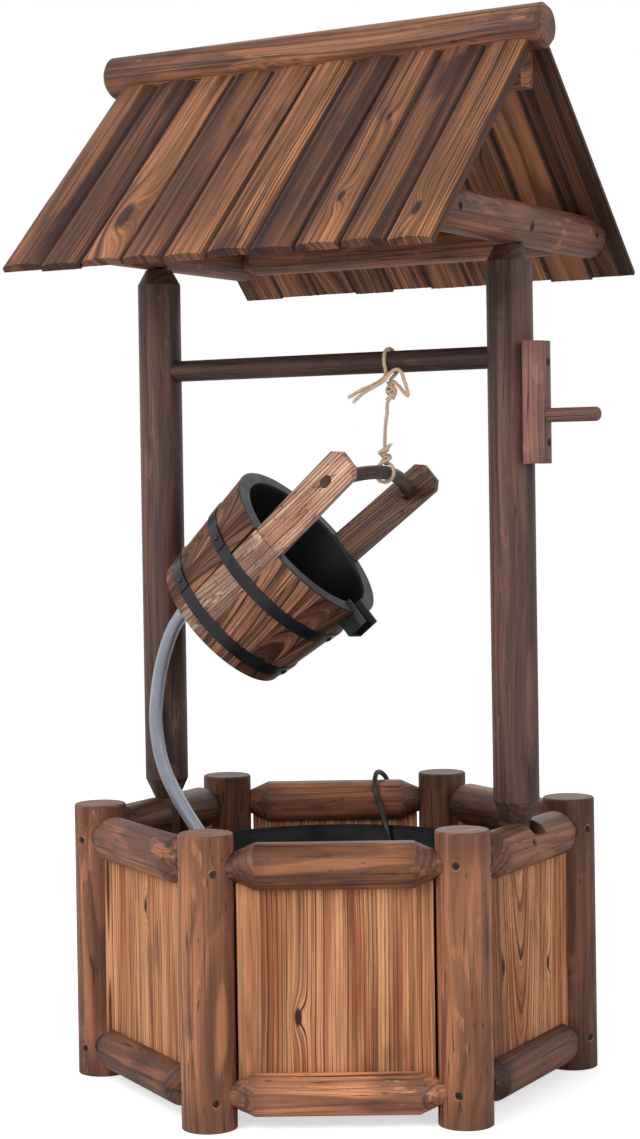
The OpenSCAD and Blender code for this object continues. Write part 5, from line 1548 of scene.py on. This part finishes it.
def twisted(route, radius, strands, lay):
    """Points and faces of a laid rope of that radius."""
    strand = radius / ROPE_TO_STRAND
    gone = 0.0
    centres = [[] for _ in range(strands)]
    for i, (at, (_, u, w)) in enumerate(zip(route, route_frames(route))):
        if i:
            gone += (at - route[i - 1]).length
        for s in range(strands):
            a = TURN * (s / strands + gone / lay)
            centres[s].append(at + (radius - strand) * (math.cos(a) * u + math.sin(a) * w))
    rope = Shape()
    for line in centres:
        rope.add(*tube_mesh(line, [strand] * len(line), STRAND_SIDES))
    return rope.points, rope.faces


# Radius of the drawn strands against the rope's diameter, and points' distance along the rope
ROPE_FULLNESS = 0.63
ROPE_STEP = 1.1
# Tight turns that close the two knots: low end, high end, number of turns
KNOT_TURNS = (
    ((56.5, 30, 699), (58, 28, 713), 4),
    ((85, -6, 769), (84.5, -4, 787), 5),
)
KNOT_STEPS = 24
# Radius of the rope in them against its diameter, its strands and its lay in millimetres
KNOT_ROPE = (ROPE_D * 0.54, 3, 9.0)
# Radius of the turns; how far that and the turns' height wander, and how often in a turn
KNOT_R, KNOT_WANDER, KNOT_TILT = 3.2, (1.1, 2.6), (0.55, 1.37)
FIBRES_A_POINT = 2
FIBRES_AN_END = 14
# Shortest and longest fibres; their radii from root to tip, and their sides
LOOSE_FIBRE_L, LOOSE_FIBRE = (1.2, 3.2), ([0.13, 0.11, 0.05], 3)
CUT_FIBRE_L, CUT_FIBRE = (3.5, 6.5), ([0.28, 0.26, 0.2, 0.1], 5)


class FOUNTAIN_OT_rope(bpy.types.Operator):
    """Makes the jute rope with its bow"""

    bl_idname = "fountain.rope"
    bl_label = "Rope"

    def execute(self, context):
        trim = trim_settings()
        material, graph, shader = new_material("jute_rope")
        place = object_place(graph, Matrix.Identity(4))
        hair = graph.noise(place, (1.4, 1.4, 1.4), 3.0)
        tint = graph.mix(graph.step(hair, 0.35, 0.65), shaded(trim.jute, 0.62), trim.jute)
        connect(graph, shader, Base_Color=tint, Roughness=0.85, Sheen_Weight=0.3,
                Normal=graph.bump(hair, 0.5, 0.0003))
        lay, strands = trim.rope_lay / MM, trim.rope_strands
        routes = [smooth_route(route, ROPE_STEP) for route in (ROPE_ROUTE, BOW_ROUTE)]
        parts = []
        for name, route in zip(("jute_rope", "jute_bow"), routes):
            rope = twisted(route, ROPE_D * ROPE_FULLNESS, strands, lay)
            piece = mesh_object(name, *rope, material)
            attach(piece, "frame")
            parts.append(piece)
        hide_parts("rope")
        for piece, route in zip(parts, routes):
            route[0] * MM
            cord_length(route)
            in_metres(route)
            [self.frays(material, routes)] if piece is parts[0] else ()
        return {"FINISHED"}

    def frays(self, material, routes):
        """Loose fibres along the rope and at its cut ends, and the turns that close the knots."""
        chance = random.Random(8)
        frays = Shape()
        for route in routes:
            for at, (way, u, w) in zip(route, route_frames(route)):
                for _ in range(FIBRES_A_POINT):
                    frays.add(*self.loose_fibre(chance, at, way, u, w))
        for points in (ROPE_ROUTE[:2], ROPE_ROUTE[:-3:-1], BOW_ROUTE[:2]):
            end, before = Vector(points[0]), Vector(points[1])
            for _ in range(FIBRES_AN_END):
                frays.add(*self.cut_fibre(chance, end, (end - before).normalized()))
        for low, high, turns in KNOT_TURNS:
            frays.add(*self.knot(Vector(low), Vector(high), turns))
        piece = mesh_object("rope_frays", frays.points, frays.faces, material)
        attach(piece, "frame")
        return piece

    def loose_fibre(self, chance, at, way, u, w):
        """A short fibre that stands off the rope."""
        a = chance.uniform(0, TURN)
        out = math.cos(a) * u + math.sin(a) * w
        along = way * chance.choice((-1, 1)) + out * chance.uniform(0.15, 0.5)
        start = at + out * (ROPE_D * 0.4)
        reach = chance.uniform(*LOOSE_FIBRE_L)
        line = [start + along * (reach * t) + out * (0.5 * reach * t * t) for t in (0, 0.5, 1)]
        return tube_mesh(line, *LOOSE_FIBRE)

    def cut_fibre(self, chance, at, way):
        """A fibre of a cut end, which spreads away from the others."""
        spread = Vector([chance.uniform(-1, 1) for _ in range(3)])
        spread -= spread.dot(way) * way
        start = at - way * 1.5 + spread * 0.8
        reach = chance.uniform(*CUT_FIBRE_L)
        line = [start + way * (reach * t) + spread * (1.7 * t * t) for t in (0, 0.35, 0.7, 1)]
        return tube_mesh(line, *CUT_FIBRE)

    def knot(self, low, high, turns):
        """Rope wound unevenly round the line from low to high."""
        line = []
        for i in range(KNOT_STEPS * turns):
            t = i / (KNOT_STEPS * turns)
            a = TURN * turns * t
            wander, tilt = (far * math.sin(often * a) for far, often in (KNOT_WANDER, KNOT_TILT))
            reach = KNOT_R + wander
            line.append(low.lerp(high, t) + reach * Vector((math.cos(a), math.sin(a), tilt)))
        return twisted(line, *KNOT_ROPE)


# -------------------------------------------------------------------- stage


# Half the floor's side and its level, in millimetres, and its glow to the camera
FLOOR_HALF, FLOOR_Z, FLOOR_GLOW = 6000.0, -0.4, 0.62
LAMP_AIM = (0, 0, 0.6)


class FOUNTAIN_OT_stage(bpy.types.Operator):
    """Puts in the camera, the floor, the lamps and the background"""

    bl_idname = "fountain.stage"
    bl_label = "Stage"

    def execute(self, context):
        self.camera()
        self.floor()
        self.lamps()
        self.background()
        context.scene.view_settings.view_transform = "Standard"
        return {"FINISHED"}

    def camera(self):
        """Camera at the photograph's place."""
        azimuth = CAMERA_AZIMUTH
        heading = azimuth + CAMERA_YAW
        forward = Vector((-math.sin(heading) * math.cos(CAMERA_PITCH),
                          math.cos(heading) * math.cos(CAMERA_PITCH), math.sin(CAMERA_PITCH)))
        right = Vector((math.cos(heading), math.sin(heading), 0))
        up = right.cross(forward)
        across = math.cos(CAMERA_ROLL) * right + math.sin(CAMERA_ROLL) * up
        above = -math.sin(CAMERA_ROLL) * right + math.cos(CAMERA_ROLL) * up
        data = bpy.data.cameras.new("photo_camera")
        data.sensor_width = SENSOR
        data.lens = CAMERA_FOCAL_PX / PHOTO_HEIGHT_PX * SENSOR
        data.shift_y = CAMERA_SHIFT_PX / PHOTO_HEIGHT_PX
        data.clip_start, data.clip_end = 0.05, 50
        camera = linked("photo_camera", data)
        turn = Matrix((across, above, -forward)).transposed().to_4x4()
        spot = Vector((CAMERA_DISTANCE * math.sin(azimuth),
                       -CAMERA_DISTANCE * math.cos(azimuth), CAMERA_HEIGHT))
        camera.matrix_world = Matrix.Translation(spot) @ turn
        bpy.context.scene.camera = camera

    def floor(self):
        """Pale floor that stays white to the camera and keeps the shadow."""
        material, graph, shader = new_material("floor_paint")
        level = bpy.context.scene.fountain_stage.floor
        seen = graph.out("Is Camera Ray", "ShaderNodeLightPath")
        connect(graph, shader, Base_Color=(level, level, level), Roughness=0.9,
                Specular_IOR_Level=0.1, Emission_Color=(1, 1, 1),
                Emission_Strength=seen * FLOOR_GLOW)
        corners = [(x * FLOOR_HALF, y * FLOOR_HALF, FLOOR_Z)
                   for x, y in ((-1, -1), (1, -1), (1, 1), (-1, 1))]
        floor = mesh_object("studio_floor", corners, [(0, 1, 2, 3)], material)

    def lamps(self):
        """Large soft lamps round the camera's side."""
        stage = bpy.context.scene.fountain_stage
        for name, azimuth, height, distance, size, power in (
                ("key_lamp", -12, 2.1, 2.6, 1.8, stage.key),
                ("fill_lamp", 78, 1.3, 2.8, 1.8, stage.fill),
                ("back_lamp", 200, 2.2, 2.6, 1.6, stage.fill * 0.8)):
            data = bpy.data.lights.new(name, "AREA")
            data.shape, data.size, data.energy = "SQUARE", size, power
            lamp = linked(name, data)
            a = math.radians(azimuth)
            lamp.location = (distance * math.sin(a), -distance * math.cos(a), height)
            aim = Vector(LAMP_AIM) - lamp.location
            lamp.rotation_euler = aim.to_track_quat("-Z", "Y").to_euler()

    def background(self):
        """White to the camera, to gloss and to clear plastic, and softer as a light."""
        world = bpy.data.worlds.new("studio")
        bpy.context.scene.world = world
        world.use_nodes = True
        world.node_tree.nodes.clear()
        graph = Graph(world.node_tree)
        path = graph.node("ShaderNodeLightPath").outputs
        camera, clear, glossy = (
            Value(graph, path[f"Is {kind} Ray"]) for kind in ("Camera", "Transmission", "Glossy"))
        seen = graph.math("MAXIMUM", camera, clear)
        strength = graph.step(seen, 0.0, 1.0, bpy.context.scene.fountain_stage.ambient, 1.0)
        strength = graph.math("MAXIMUM", strength, glossy * 0.8)
        shade = graph.out(0, "ShaderNodeBackground", {"Color": (1, 1, 1, 1), "Strength": strength})
        graph.node("ShaderNodeOutputWorld", {0: shade})


# -------------------------------------------------------------- registration


OPERATORS = (
    FOUNTAIN_OT_stage,
    FOUNTAIN_OT_lead,
    FOUNTAIN_OT_hose,
    FOUNTAIN_OT_rope,
    FOUNTAIN_OT_base,
    FOUNTAIN_OT_uprights,
    FOUNTAIN_OT_panels,
    FOUNTAIN_OT_roof,
    FOUNTAIN_OT_bucket,
    FOUNTAIN_OT_basin,
    FOUNTAIN_OT_screws,
)
SETTINGS = (
    ("fountain_wood", FOUNTAIN_PG_wood),
    ("fountain_trim", FOUNTAIN_PG_trim),
    ("fountain_stage", FOUNTAIN_PG_stage),
)


class FOUNTAIN_PT_panel(bpy.types.Panel):
    """Lists the fountain's pieces and settings"""

    bl_idname = "FOUNTAIN_PT_panel"
    bl_label = "Garden Fountain"
    bl_space_type = "VIEW_3D"
    bl_region_type = "UI"
    bl_category = "Fountain"

    def draw(self, context):
        for made in OPERATORS:
            self.layout.operator(made.bl_idname)
        for attribute, group in SETTINGS:
            settings = getattr(context.scene, attribute)
            for name in group.__annotations__:
                self.layout.prop(settings, name)


def register():
    """Adds the settings, the operators and the panel to Blender."""
    for _, group in SETTINGS:
        bpy.utils.register_class(group)
    for made in (*OPERATORS, FOUNTAIN_PT_panel):
        bpy.utils.register_class(made)
    for attribute, group in SETTINGS:
        setattr(bpy.types.Scene, attribute, PointerProperty(type=group))


def unregister():
    """Takes them out again."""
    for attribute, _ in SETTINGS:
        delattr(bpy.types.Scene, attribute)
    for made in (FOUNTAIN_PT_panel, *reversed(OPERATORS)):
        bpy.utils.unregister_class(made)
    for _, group in reversed(SETTINGS):
        bpy.utils.unregister_class(group)


def main():
    """Builds the whole scene."""
    register()
    for made in OPERATORS:
        area, name = made.bl_idname.split(".")
        getattr(getattr(bpy.ops, area), name)()


if __name__ == "__main__":
    main()
